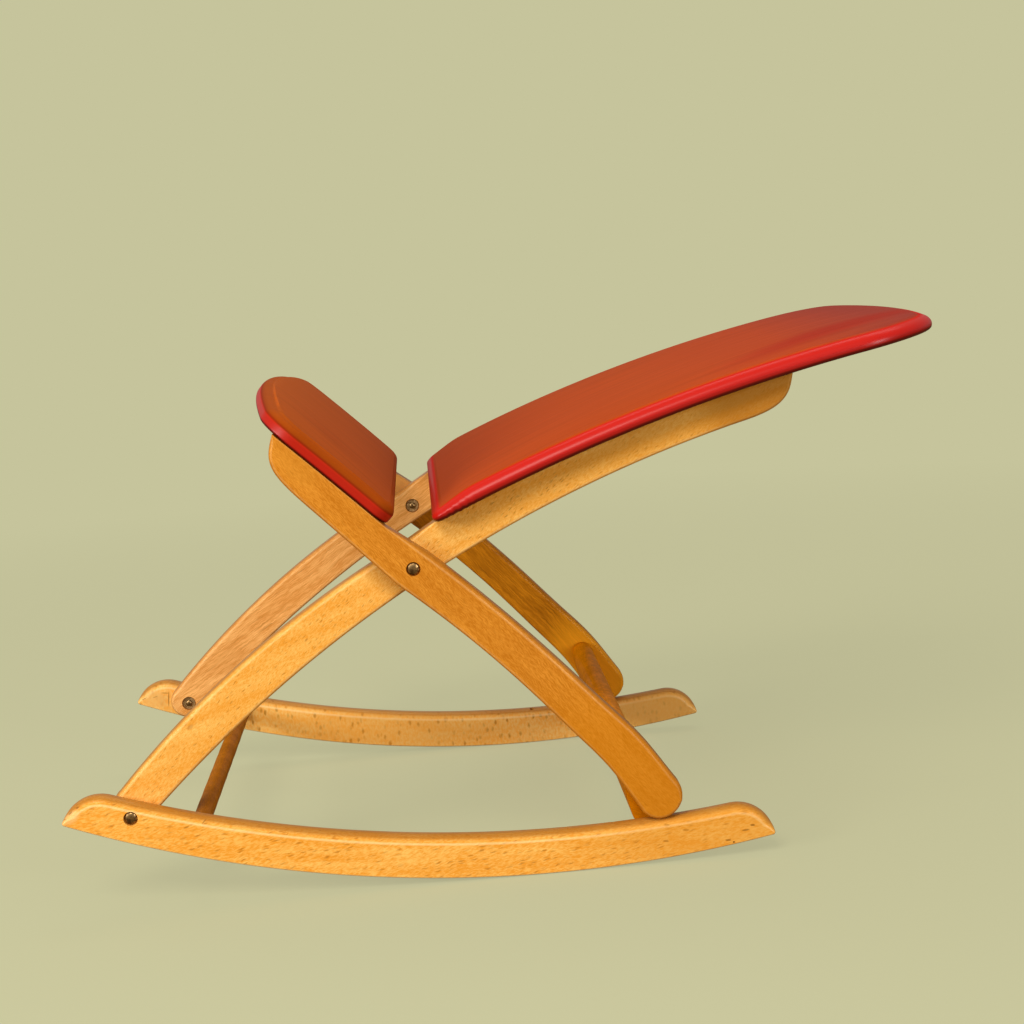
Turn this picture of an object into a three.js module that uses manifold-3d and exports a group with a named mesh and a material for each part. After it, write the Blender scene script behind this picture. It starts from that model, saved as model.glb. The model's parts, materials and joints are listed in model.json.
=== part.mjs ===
// A folding rocking chair in beech. Two curved rockers carry two pairs of curved legs that cross like
// scissors. The back legs are riveted to the rockers and hold the long back pad. The seat legs stand on
// the rockers with their feet and hold the short seat pad.
// Millimetres, +Z up, +X towards the free end of the back pad, +Y from the near side to the far side.
import * as THREE from 'three';
import { mergeVertices } from 'three/addons/utils/BufferGeometryUtils.js';
import Module from 'manifold-3d';

const wasm = await Module();
wasm.setup();

const degrees = THREE.MathUtils.DEG2RAD;

// Sizes of the whole chair. A long arc is drawn with chords of facetLength.
const chairWidth = 434.5;
const boardThickness = 20;
const fit = 0.3;
const facetLength = 32;
const restLean = 5.95 * degrees;

// Rockers, cut from board. The length counts to where the sole and the round end would meet in a sharp
// tip, which tipRadius rounds. pivotFromTip and pivotBelowTop place the rivet of the back legs.
const rocker = {
  length: 621.2, depth: 37.7, soleRadius: 1122, topRadius: 1205, endRadius: 34, tipRadius: 2.5,
  arris: 2.5, pivotFromTip: 59, pivotBelowTop: 13.3,
};

// Stud holes in the top edge of each rocker: the foot stands over the first one.
const studHole = { count: 3, spacing: 42.5, radius: 2.5, depth: 12 };

// The rung is a turned rod with a thinner tenon in each rocker.
const rung = { radius: 8, tenonRadius: 6, tenonLength: 12, fromTip: 115.6, belowTop: 15 };

// Legs, cut from board. A leg's frame runs from its foot to the crossing. below and above are the depths
// of wood under and over the crossing rivet, and the radii are those of its lower edge, its upper edge
// and the lower edge of its arm beyond the crossing. The arm carries the pad for reach, and ends in a
// rounded lower corner that is headDepth under the pad and setBack from the end. A leg with a bend bows
// further up by lift there, over the reach on each side.
const legArris = 3;
const backLeg = {
  span: 325.5, slope: 43.2 * degrees, footRadius: 17.5, footRise: 2.9,
  below: 15.4, above: 20.2, lowerRadius: 1186, upperRadius: 927, armRadius: 1186,
  reach: 335, headDepth: 29, setBack: 9, headLength: 48, headShares: [0.76, 0.82],
};
const seatLeg = {
  footFromMiddle: 210, footRadius: 20.6, footRise: 0,
  below: 19.5, above: 18.6, lowerRadius: 1000, upperRadius: 1400, armRadius: 9000,
  reach: 123, headDepth: 27.5, setBack: 11, headLength: 60, headShares: [0.85, 0.95],
  bend: { lift: 3, at: 50, reach: 40 },
};

// The rail joins the two seat legs above their feet and reaches down between the rockers.
const rail = {
  thickness: 22, depth: 80, slope: 72 * degrees, fromFoot: 44, rise: 7.8,
  tenonThickness: 10, tenonDepth: 30, tenonLength: 10,
};

// Rivets of the four pivots, each with a spacer between the boards and a burr under its closed end.
const rivet = {
  shankRadius: 3, headRadius: 6, headHeight: 2.1, closedRadius: 4.6, closedHeight: 1.5, runningFit: 0.4,
};
const headRecess = { radius: 6.6, depth: 2.6 };
const burr = { radius: 6.6, thickness: 1.2 };
const burrRecess = { radius: 7.4, depth: 3.2 };
const spacer = { radius: 9, thickness: 0.8 };

// Pads: a bent board, a layer of wadding and a cover drawn over both. Lengths run along the underside,
// which is an arc through two places in its leg's frame: fromRise at from, and toRise at to.
const padBoard = { thickness: 6 };
const padCover = { skin: 0.8, roll: 5, tuck: 1.2 };
const waddingGap = 0.5;
const backPad = {
  from: 364.5, fromRise: 15.8, to: 736.5, toRise: -117.6, radius: 1700,
  length: 485, bulge: 24, innerCorner: 12, outerCorner: 65, edgeHeight: 14.5, crown: 5,
};
const seatPad = {
  from: 337, fromRise: 10.4, to: 464.6, toRise: 2.2, radius: 4000,
  length: 160, bulge: 26, innerCorner: 12, outerCorner: 28, edgeHeight: 14, crown: 4,
};

// Countersunk screws that hold each pad's board down on its pair of legs.
const screw = { shankRadius: 1.9, headRadius: 3.8, headHeight: 2.6, length: 26, tipLength: 4 };
const backScrewShares = [0.08, 0.34, 0.6];
const seatScrewShares = [0.2, 0.56];

const beech = new THREE.MeshStandardMaterial({ color: '#d9962f', roughness: 0.35, metalness: 0 });
const redVinyl = new THREE.MeshStandardMaterial({ color: '#b93a1c', roughness: 0.4, metalness: 0 });
const plywood = new THREE.MeshStandardMaterial({ color: '#c9a36a', roughness: 0.7, metalness: 0 });
const cotton = new THREE.MeshStandardMaterial({ color: '#d8d0c0', roughness: 0.95, metalness: 0 });
const agedBrass = new THREE.MeshStandardMaterial({ color: '#7a6238', roughness: 0.45, metalness: 1 });
const steel = new THREE.MeshStandardMaterial({ color: '#8f8f8c', roughness: 0.4, metalness: 1 });

const sides = [{ name: 'near', sign: -1 }, { name: 'far', sign: 1 }];
const rodSides = 16;
const roundSides = 12;
const smallSides = 8;
const cutOverrun = 1;

const layerGap = spacer.thickness + 2 * fit;
const outerLayer = chairWidth / 2 - boardThickness / 2;
const innerLayer = outerLayer - boardThickness - layerGap;

// A point at an angle on a circle, in the side view: x to the right, y up.
function onCircle(centre, radius, angle) {
  return new THREE.Vector2(centre.x + radius * Math.cos(angle), centre.y + radius * Math.sin(angle));
}

// The place where two circles meet, to the left of the way from the first centre to the second.
function circlesMeet(first, firstRadius, second, secondRadius) {
  const across = second.clone().sub(first);
  const distance = across.length();
  const along = (distance ** 2 + firstRadius ** 2 - secondRadius ** 2) / (2 * distance);
  const aside = Math.sqrt(firstRadius ** 2 - along ** 2);
  across.divideScalar(distance);
  const left = new THREE.Vector2(-across.y, across.x);
  return first.clone().addScaledVector(across, along).addScaledVector(left, aside);
}

// Centre of the arc between two points that bulges upwards.
function bowCentre(first, second, radius) {
  const [left, right] = first.x < second.x ? [first, second] : [second, first];
  return circlesMeet(right, radius, left, radius);
}

function angleFrom(centre, point) {
  return Math.atan2(point.y - centre.y, point.x - centre.x);
}

// Points of an arc, both ends included, no further apart than chord.
function arcPoints(centre, radius, from, to, chord = facetLength) {
  const steps = Math.max(2, Math.ceil(Math.abs(to - from) * radius / chord));
  const points = [];
  for (let step = 0; step <= steps; step += 1) {
    points.push(onCircle(centre, radius, from + (to - from) * step / steps));
  }
  return points;
}

// Points of an arc between two points that bulges upwards.
function bow(from, to, radius) {
  const centre = bowCentre(from, to, radius);
  return arcPoints(centre, radius, angleFrom(centre, from), angleFrom(centre, to));
}

// Joins lists of points into one outline, without the point that two neighbours share.
function outline(...runs) {
  const points = [];
  for (const point of runs.flat()) {
    if (points.length === 0 || point.distanceTo(points.at(-1)) > fit) points.push(point);
  }
  if (points[0].distanceTo(points.at(-1)) <= fit) points.pop();
  return new THREE.Shape(points);
}

// Leaves only positions, with shared vertices merged and empty triangles dropped.
function weld(geometry) {
  const bare = new THREE.BufferGeometry();
  bare.setAttribute('position', geometry.getAttribute('position').clone());
  if (geometry.index) bare.setIndex(geometry.index.clone());
  const merged = mergeVertices(bare);
  const corners = [];
  for (let at = 0; at < merged.index.count; at += 3) {
    const [a, b, c] = [0, 1, 2].map((step) => merged.index.getX(at + step));
    if (a !== b && b !== c && c !== a) corners.push(a, b, c);
  }
  merged.setIndex(corners);
  return merged;
}

function toSolid(geometry) {
  const welded = weld(geometry);
  return new wasm.Manifold(new wasm.Mesh({
    numProp: 3,
    vertProperties: new Float32Array(welded.getAttribute('position').array),
    triVerts: new Uint32Array(welded.index.array),
  }));
}

function cutAway(geometry, tools) {
  let solid = toSolid(geometry);
  for (const tool of tools) solid = solid.subtract(toSolid(tool));
  const mesh = solid.getMesh();
  const result = new THREE.BufferGeometry();
  result.setAttribute('position', new THREE.BufferAttribute(mesh.vertProperties, 3));
  result.setIndex(new THREE.BufferAttribute(mesh.triVerts, 1));
  return result;
}

function joinOn(geometry, additions) {
  let solid = toSolid(geometry);
  for (const addition of additions) solid = solid.add(toSolid(addition));
  const mesh = solid.getMesh();
  const result = new THREE.BufferGeometry();
  result.setAttribute('position', new THREE.BufferAttribute(mesh.vertProperties, 3));
  result.setIndex(new THREE.BufferAttribute(mesh.triVerts, 1));
  return result;
}

// A board in the side view, with its long edges rounded, half its thickness on each side of y = 0.
function cutBoard(shape, thickness, arris) {
  const geometry = new THREE.ExtrudeGeometry(shape, {
    depth: thickness - 2 * arris, bevelThickness: arris, bevelSize: arris, bevelOffset: -arris,
    bevelSegments: 2, curveSegments: 1,
  });
  geometry.translate(0, 0, arris - thickness / 2);
  return geometry.rotateX(Math.PI / 2);
}

// A round cutter across the chair, from one y to another.
function crossBore(centre, radius, fromY, toY, segments = roundSides) {
  const geometry = new THREE.CylinderGeometry(radius, radius, Math.abs(toY - fromY), segments);
  return geometry.translate(centre.x, (fromY + toY) / 2, centre.y);
}

// A round cutter in the side view's plane, from a point along a direction.
function edgeBore(start, direction, radius, length, y, segments = smallSides) {
  const geometry = new THREE.CylinderGeometry(radius, radius, length, segments);
  geometry.translate(0, length / 2, 0);
  geometry.rotateZ(Math.atan2(direction.y, direction.x) - Math.PI / 2);
  geometry.rotateX(Math.PI / 2);
  return geometry.translate(start.x, y, start.y);
}

// Bores of one pivot in the board of one layer. outward is -1 where the outer face looks towards -Y.
function pivotBores(centre, outward, layer) {
  const half = boardThickness / 2;
  const running = layer === 'inner' ? rivet.runningFit : fit;
  const bore = crossBore(centre, rivet.shankRadius + running, -half - cutOverrun, half + cutOverrun);
  const recess = layer === 'outer' ? headRecess : burrRecess;
  const face = layer === 'outer' ? outward : -outward;
  const seat = crossBore(centre, recess.radius, face * (half - recess.depth), face * (half + cutOverrun));
  return [bore, seat];
}

// Where the main points lie in the side view. The sole's lowest point, before the lean, is at zero.
const soleCentre = new THREE.Vector2(0, rocker.soleRadius);
const topCentre = new THREE.Vector2(0, rocker.depth + rocker.topRadius);

function onTopEdge(x, below) {
  const height = topCentre.y - Math.sqrt(rocker.topRadius ** 2 - x ** 2);
  return new THREE.Vector2(x, height - below);
}

const backPivot = onTopEdge(rocker.pivotFromTip - rocker.length / 2, rocker.pivotBelowTop);
const rungCentre = onTopEdge(rung.fromTip - rocker.length / 2, rung.belowTop);

const crossing = onCircle(backPivot, backLeg.span, backLeg.slope);
const footAngle = seatLeg.footFromMiddle / rocker.topRadius - Math.PI / 2;
const foot = onCircle(topCentre, rocker.topRadius - seatLeg.footRadius - fit, footAngle);

// A leg's frame: places at a distance from one point towards another, and at a rise square to that line.
function legFrame(from, towards) {
  const along = towards.clone().sub(from).normalize();
  const upward = new THREE.Vector2(-along.y, along.x).multiplyScalar(Math.sign(along.x));
  return (distance, rise) => from.clone().addScaledVector(along, distance).addScaledVector(upward, rise);
}

const onBackLeg = legFrame(backPivot, crossing);
const onSeatLeg = legFrame(foot, crossing);

// Where a pad lies: the arc of its underside, and the turn on it at a distance from the pad's lower end.
function padRest(pad, leg, onLeg, layer, screwShares) {
  const start = onLeg(pad.from, pad.fromRise);
  const end = onLeg(pad.to, pad.toRise);
  const centre = bowCentre(start, end, pad.radius);
  const direction = Math.sign(start.x - end.x);
  const startAngle = angleFrom(centre, start);
  const turnAt = (distance) => startAngle + direction * distance / pad.radius;
  return { pad, leg, onLeg, layer, centre, direction, turnAt, screwShares };
}

// The chair in groups: what each joint carries is one group, set at that joint's pivot.
const chair = new THREE.Group();
const base = new THREE.Group();
const backFrame = new THREE.Group();
const seatFrame = new THREE.Group();
backFrame.position.set(backPivot.x, 0, backPivot.y);
seatFrame.position.set(crossing.x - backPivot.x, 0, crossing.y - backPivot.y);
backFrame.add(seatFrame);
chair.add(base, backFrame);

// Adds a piece to a group whose own origin lies at groupOrigin. The piece's geometry is drawn about at.
const benchOrigin = new THREE.Vector2();
function addPiece(group, groupOrigin, name, geometry, material, at, y) {
  const mesh = new THREE.Mesh(weld(geometry), material);
  mesh.geometry.computeVertexNormals();
  mesh.name = name;
  mesh.position.set(at.x - groupOrigin.x, y, at.y - groupOrigin.y);
  group.add(mesh);
  return mesh;
}

const toBase = (name, geometry, material, at, y) => addPiece(base, benchOrigin, name, geometry, material, at, y);
const toBack = (name, geometry, material, at, y) => addPiece(backFrame, backPivot, name, geometry, material, at, y);
const toSeat = (name, geometry, material, at, y) => addPiece(seatFrame, crossing, name, geometry, material, at, y);

// The sole's chords are placed so that one of them lies level when the chair leans at rest.
function solePoints(endAngle) {
  const step = facetLength / rocker.soleRadius;
  const level = restLean - Math.PI / 2;
  const count = Math.ceil(2 * endAngle / step) + 2;
  const points = [onCircle(soleCentre, rocker.soleRadius, -Math.PI / 2 - endAngle)];
  for (let index = -count; index <= count; index += 1) {
    const angle = level + (index + 1 / 2) * step;
    if (Math.abs(angle + Math.PI / 2) < endAngle - step / 4) {
      points.push(onCircle(soleCentre, rocker.soleRadius, angle));
    }
  }
  points.push(onCircle(soleCentre, rocker.soleRadius, endAngle - Math.PI / 2));
  return points;
}

function mirrored(point) {
  return new THREE.Vector2(-point.x, point.y);
}

function rockerShape() {
  const { soleRadius, topRadius, endRadius, tipRadius } = rocker;
  const sharpTip = onCircle(soleCentre, soleRadius, Math.asin(rocker.length / 2 / soleRadius) - Math.PI / 2);
  const endCentre = circlesMeet(sharpTip, endRadius, topCentre, topRadius + endRadius);
  const tipCentre = circlesMeet(soleCentre, soleRadius - tipRadius, endCentre, endRadius - tipRadius);
  const soleTurn = angleFrom(soleCentre, tipCentre);
  const tipTurn = angleFrom(endCentre, tipCentre);
  const topTurn = angleFrom(endCentre, topCentre);
  const endChord = endRadius / 4;
  const topFrom = angleFrom(topCentre, endCentre);
  return outline(
    solePoints(soleTurn + Math.PI / 2),
    arcPoints(tipCentre, tipRadius, soleTurn, tipTurn, tipRadius),
    arcPoints(endCentre, endRadius, tipTurn, topTurn, endChord),
    arcPoints(topCentre, topRadius, topFrom, -Math.PI - topFrom),
    arcPoints(mirrored(endCentre), endRadius, Math.PI - topTurn, Math.PI - tipTurn, endChord),
    arcPoints(mirrored(tipCentre), tipRadius, Math.PI - tipTurn, Math.PI - soleTurn, tipRadius),
  );
}

// Cutters for the stud holes, square to the top edge and nearer its inner face.
function studHoleCutters(inward) {
  const cutters = [];
  for (let index = 0; index < studHole.count; index += 1) {
    const along = seatLeg.footFromMiddle - index * studHole.spacing;
    const angle = along / rocker.topRadius - Math.PI / 2;
    const bottom = onCircle(topCentre, rocker.topRadius + studHole.depth, angle);
    const up = topCentre.clone().sub(bottom).normalize();
    cutters.push(edgeBore(bottom, up, studHole.radius, studHole.depth + cutOverrun, inward * boardThickness / 6));
  }
  return cutters;
}

for (const side of sides) {
  const half = boardThickness / 2;
  const mortise = crossBore(
    rungCentre, rung.tenonRadius + fit,
    -side.sign * (half + cutOverrun), side.sign * (rung.tenonLength + fit - half),
  );
  const cutters = [...pivotBores(backPivot, side.sign, 'outer'), mortise, ...studHoleCutters(-side.sign)];
  const board = cutBoard(rockerShape(), boardThickness, rocker.arris);
  toBase(`rocker_${side.name}`, cutAway(board, cutters), beech, benchOrigin, side.sign * outerLayer);
}

const rungHalf = chairWidth / 2 - boardThickness - fit;
const rungEnd = rungHalf + rung.tenonLength;
const rungProfile = [
  [0, -rungEnd], [rung.tenonRadius, -rungEnd], [rung.tenonRadius, -rungHalf], [rung.radius, -rungHalf],
  [rung.radius, rungHalf], [rung.tenonRadius, rungHalf], [rung.tenonRadius, rungEnd], [0, rungEnd],
].map(([radius, along]) => new THREE.Vector2(radius, along));
toBase('rocker_rung', new THREE.LatheGeometry(rungProfile, rodSides), beech, rungCentre, 0);

const backRest = padRest(backPad, backLeg, onBackLeg, innerLayer, backScrewShares);
const seatRest = padRest(seatPad, seatLeg, onSeatLeg, outerLayer, seatScrewShares);

// Lifts the points of a leg's outline where the leg is bent.
function bent(shape, { bend }, onLeg) {
  if (!bend) return shape;
  const origin = onLeg(0, 0);
  const along = onLeg(1, 0).sub(origin);
  const upward = onLeg(0, 1).sub(origin);
  return new THREE.Shape(shape.getPoints().map((point) => {
    const distance = point.clone().sub(origin).dot(along) - bend.at;
    return point.clone().addScaledVector(upward, bend.lift * Math.exp(-((distance / bend.reach) ** 2)));
  }));
}

// Outline of a leg: its lower edge, the rounded end of its arm, the seat of its pad, its upper edge and
// its round foot.
function legShape({ pad, leg, onLeg, centre, direction, turnAt }, span) {
  const seatRadius = pad.radius - fit;
  const head = onCircle(centre, seatRadius, turnAt(leg.reach));
  const corner = onCircle(centre, seatRadius - leg.headDepth, turnAt(leg.reach - leg.setBack));
  const footCentre = onLeg(0, leg.footRise);
  const footLow = onLeg(0, leg.footRise - leg.footRadius);
  const footTop = onLeg(0, leg.footRise + leg.footRadius);
  const crossingLow = onLeg(span, -leg.below);
  const armCentre = bowCentre(crossingLow, corner, leg.armRadius);
  const cornerAngle = angleFrom(armCentre, corner);
  const shapedFrom = cornerAngle - direction * leg.headLength / leg.armRadius;
  const shapedAt = onCircle(armCentre, leg.armRadius, shapedFrom);
  const [lowShare, highShare] = leg.headShares;
  const rounding = new THREE.CubicBezierCurve(
    shapedAt, shapedAt.clone().lerp(corner, lowShare), head.clone().lerp(corner, highShare), head,
  );
  const footTurn = angleFrom(footCentre, footTop);
  const straight = outline(
    bow(footLow, crossingLow, leg.lowerRadius),
    arcPoints(armCentre, leg.armRadius, angleFrom(armCentre, crossingLow), shapedFrom),
    rounding.getPoints(smallSides),
    arcPoints(centre, seatRadius, turnAt(leg.reach), turnAt(0)),
    bow(onLeg(span, leg.above), footTop, leg.upperRadius),
    arcPoints(footCentre, leg.footRadius, footTurn, footTurn - direction * Math.PI, leg.footRadius / 3),
  );
  return bent(straight, leg, onLeg);
}

function screwTurns(rest) {
  return rest.screwShares.map((share) => rest.turnAt(share * rest.pad.length));
}

// Pilot holes for the pad screws, in the top edge of a leg.
function pilotHoles(rest) {
  const depth = screw.length - padBoard.thickness + 2 * fit;
  return screwTurns(rest).map((turn) => {
    const bottom = onCircle(rest.centre, rest.pad.radius - depth, turn);
    const up = onCircle(benchOrigin, 1, turn);
    return edgeBore(bottom, up, screw.shankRadius + fit, depth + cutOverrun, 0);
  });
}

for (const side of sides) {
  const shape = legShape(backRest, backLeg.span);
  const cutters = [
    ...pivotBores(backPivot, side.sign, 'inner'),
    ...pivotBores(crossing, side.sign, 'inner'),
    ...pilotHoles(backRest),
  ];
  const board = cutBoard(shape, boardThickness, legArris);
  toBack(`back_leg_${side.name}`, cutAway(board, cutters), beech, benchOrigin, side.sign * innerLayer);
}

// The rail's section, about the middle of its rounded top, with the way down along -Y of the drawing.
function railShape(thickness, depth, above) {
  const half = thickness / 2;
  const low = depth - above - half;
  const topRound = arcPoints(new THREE.Vector2(0, above - half), half, 0, Math.PI, half / 3);
  const lowRound = arcPoints(new THREE.Vector2(0, -low), half, Math.PI, 2 * Math.PI, half / 3);
  return outline(topRound, lowRound);
}

function extrudeAcross(shape, length, turn) {
  const geometry = new THREE.ExtrudeGeometry(shape, { depth: length, bevelEnabled: false, curveSegments: 1 });
  geometry.rotateZ(turn);
  geometry.rotateX(Math.PI / 2);
  return geometry.translate(0, length / 2, 0);
}

const railTurn = Math.PI / 2 - rail.slope;
const railCentre = onSeatLeg(rail.fromFoot, rail.rise);
const railHalf = chairWidth / 2 - boardThickness - fit;
const railBody = extrudeAcross(railShape(rail.thickness, rail.depth, rail.thickness / 2), 2 * railHalf, railTurn);
const tenonRise = rail.tenonThickness / 2;
const railTenons = extrudeAcross(
  railShape(rail.tenonThickness, rail.tenonDepth, tenonRise), 2 * (railHalf + rail.tenonLength), railTurn,
);
toSeat('seat_rail', joinOn(railBody, [railTenons]), beech, railCentre, 0);

for (const side of sides) {
  const shape = legShape(seatRest, foot.distanceTo(crossing));
  const mortiseLength = rail.tenonLength + fit + cutOverrun;
  const mortise = extrudeAcross(
    railShape(rail.tenonThickness + 2 * fit, rail.tenonDepth + 2 * fit, tenonRise + fit),
    mortiseLength, railTurn,
  );
  const mortiseMiddle = boardThickness / 2 + cutOverrun - mortiseLength / 2;
  mortise.translate(railCentre.x, -side.sign * mortiseMiddle, railCentre.y);
  const cutters = [...pivotBores(crossing, side.sign, 'outer'), mortise, ...pilotHoles(seatRest)];
  const board = cutBoard(shape, boardThickness, legArris);
  toSeat(`seat_leg_${side.name}`, cutAway(board, cutters), beech, benchOrigin, side.sign * outerLayer);
}

// A rivet along Y, with its domed head towards -Y and the face of the head recess at y = 0.
const stackLength = 2 * boardThickness + layerGap;
const headSeat = headRecess.depth - fit;
const burrSeat = stackLength - burrRecess.depth + fit;
const closedSeat = burrSeat + burr.thickness + fit;

function domePoints(radius, height, seat, direction) {
  const points = [];
  for (let step = 0; step <= 3; step += 1) {
    const turn = Math.PI / 2 * step / 3;
    points.push(new THREE.Vector2(radius * Math.sin(turn), seat + direction * height * Math.cos(turn)));
  }
  return direction < 0 ? points : points.reverse();
}

function rivetGeometry() {
  return new THREE.LatheGeometry([
    ...domePoints(rivet.headRadius, rivet.headHeight, headSeat, -1),
    new THREE.Vector2(rivet.shankRadius, headSeat),
    new THREE.Vector2(rivet.shankRadius, closedSeat),
    ...domePoints(rivet.closedRadius, rivet.closedHeight, closedSeat, 1),
  ], roundSides);
}

// A flat ring along Y, from y = 0 to its thickness.
function ringGeometry(radius, boreRadius, thickness) {
  return new THREE.LatheGeometry([
    [boreRadius, 0], [radius, 0], [radius, thickness], [boreRadius, thickness], [boreRadius, 0],
  ].map(([distance, along]) => new THREE.Vector2(distance, along)), roundSides);
}

function addRivets(add, name, at) {
  for (const side of sides) {
    const turn = side.sign < 0 ? 0 : Math.PI;
    const face = side.sign * chairWidth / 2;
    const spacerFrom = boardThickness + fit;
    const bore = rivet.shankRadius + fit;
    const pieces = [
      [`${name}_rivet_${side.name}`, rivetGeometry(), 0],
      [`${name}_burr_${side.name}`, ringGeometry(burr.radius, bore, burr.thickness), burrSeat],
      [`${name}_spacer_${side.name}`, ringGeometry(spacer.radius, bore, spacer.thickness), spacerFrom],
    ];
    for (const [pieceName, geometry, depth] of pieces) {
      const mesh = add(pieceName, geometry, agedBrass, at, face - side.sign * depth);
      mesh.rotation.x = turn;
    }
  }
}

addRivets(toBase, 'back_pivot', backPivot);
addRivets(toSeat, 'crossing', crossing);

// Chord of a pad along its length, and how many lines of points each half of a pad has between its
// middle and its corners.
const padChord = 1.25 * facetLength;
const leastColumns = 8;
const coverLines = 3;
const coreLines = 1;

// How far a rounded corner draws the end back, on a line at a distance across from the middle line.
function cornerDraw(corner, halfWidth, across) {
  const into = Math.abs(across) - (halfWidth - corner);
  return into > 0 ? corner - Math.sqrt(Math.max(0, corner ** 2 - into ** 2)) : 0;
}

// A layer of a pad in plan, drawn in by inset all round: lines of points from end to end, in columns,
// with innerLines of them on each side between the middle and the corners. level gives the height from
// two numbers that run from -1 to 1 along and across the pad.
function padLayer(pad, inset, innerLines, level) {
  const columns = Math.max(leastColumns, Math.ceil(pad.length / padChord));
  const halfWidth = chairWidth / 2 - inset;
  const outerCorner = Math.max(pad.outerCorner - inset, fit);
  const innerCorner = Math.max(pad.innerCorner - inset, fit);
  const flat = halfWidth - outerCorner;
  const halfLines = [0];
  for (let line = 1; line <= innerLines; line += 1) halfLines.push(flat * line / innerLines);
  for (let step = 1; step <= 3; step += 1) {
    halfLines.push(flat + outerCorner * Math.sin(Math.PI / 2 * step / 3));
  }
  const lines = [...halfLines.slice(1).reverse().map((across) => -across), ...halfLines];
  return lines.map((across) => {
    const share = across / halfWidth;
    const start = inset + cornerDraw(innerCorner, halfWidth, across);
    const bow = pad.bulge * share ** 2;
    const end = pad.length - inset - bow - cornerDraw(outerCorner, halfWidth, across);
    const points = [];
    for (let column = 0; column <= columns; column += 1) {
      const run = column / columns;
      points.push([start + (end - start) * run, across, level(2 * run - 1, share)]);
    }
    return points;
  });
}

// The points round the edge of a layer, anticlockwise seen from above.
function edgeLoop(layer) {
  const first = layer[0];
  const last = layer.at(-1);
  const outerEnd = layer.slice(1, -1).map((line) => line.at(-1));
  const innerEnd = layer.slice(1, -1).map((line) => line[0]);
  return [...first, ...outerEnd, ...[...last].reverse(), ...innerEnd.reverse()];
}

// Collects triangles of a pad, drawn flat, and bends them round the centre of the legs' arc.
class PadMesh {
  constructor(rest) {
    this.rest = rest;
    this.corners = [];
  }

  bent([along, across, height]) {
    const { pad, centre, direction, turnAt } = this.rest;
    const point = onCircle(centre, pad.radius + height, turnAt(along));
    return [point.x, -direction * across, point.y];
  }

  // Two triangles. The far half is split the other way round, as the near half's mirror image.
  quad(a, b, c, d) {
    const farHalf = a[1] + b[1] + c[1] + d[1] > 0;
    for (const corner of farHalf ? [a, b, d, b, c, d] : [a, b, c, a, c, d]) {
      this.corners.push(...this.bent(corner));
    }
  }

  face(layer, upwards) {
    for (let line = 1; line < layer.length; line += 1) {
      for (let column = 1; column < layer[line].length; column += 1) {
        const [a, b] = [layer[line - 1][column - 1], layer[line - 1][column]];
        const [c, d] = [layer[line][column], layer[line][column - 1]];
        if (upwards) this.quad(a, b, c, d);
        else this.quad(a, d, c, b);
      }
    }
  }

  wall(lower, upper) {
    const [low, high] = [edgeLoop(lower), edgeLoop(upper)];
    low.forEach((point, index) => {
      const next = (index + 1) % low.length;
      this.quad(point, low[next], high[next], high[index]);
    });
  }

  // Walls through all the layers, in the order from the bottom up the outside.
  walls(layers) {
    for (let index = 1; index < layers.length; index += 1) this.wall(layers[index - 1], layers[index]);
  }

  geometry() {
    const geometry = new THREE.BufferGeometry();
    geometry.setAttribute('position', new THREE.Float32BufferAttribute(this.corners, 3));
    return geometry;
  }
}

// The crown is highest in the middle and dies away towards all four edges.
function crowned(edge, crown) {
  return (along, across) => edge + crown * (1 - along ** 4) * (1 - across ** 4);
}

const boardInset = padCover.skin + fit;

// Layers of the cover's edge, from its lower rim, over the roll, to where the crowned top starts.
function coverLayers(pad, skin, rollSteps) {
  const top = pad.edgeHeight - skin;
  const roll = padCover.roll - skin;
  const level = (height) => () => height;
  const layers = [
    padLayer(pad, padCover.tuck + skin, coverLines, level(0)),
    padLayer(pad, skin, coverLines, level(top - roll)),
  ];
  for (let step = 1; step < rollSteps; step += 1) {
    const turn = Math.PI / 2 * step / rollSteps;
    const inset = skin + roll * (1 - Math.cos(turn));
    layers.push(padLayer(pad, inset, coverLines, level(top - roll * (1 - Math.sin(turn)))));
  }
  layers.push(padLayer(pad, skin + roll, coverLines, crowned(top, pad.crown)));
  return layers;
}

function coverGeometry(rest) {
  const mesh = new PadMesh(rest);
  const outside = coverLayers(rest.pad, 0, 3);
  const inside = coverLayers(rest.pad, padCover.skin, 2).reverse();
  mesh.walls(outside);
  mesh.face(outside.at(-1), true);
  mesh.walls(inside);
  mesh.face(inside[0], false);
  mesh.wall(inside.at(-1), outside[0]);
  return mesh.geometry();
}

// A slab that fills the cover between two heights, with an inset at each level.
function slabGeometry(rest, levels, crown) {
  const mesh = new PadMesh(rest);
  const layers = levels.map(([inset, height], index) => {
    const last = index === levels.length - 1;
    return padLayer(rest.pad, inset, coreLines, last ? crowned(height, crown) : () => height);
  });
  mesh.face(layers[0], false);
  mesh.walls(layers);
  mesh.face(layers.at(-1), true);
  return mesh.geometry();
}

// A screw along +Y from its tip at y = 0, with a countersunk head at the far end.
function screwGeometry() {
  const { shankRadius, headRadius, headHeight, length, tipLength } = screw;
  return new THREE.LatheGeometry([
    [0, 0], [shankRadius, tipLength], [shankRadius, length - headHeight], [headRadius, length], [0, length],
  ].map(([radius, along]) => new THREE.Vector2(radius, along)), smallSides);
}

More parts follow.
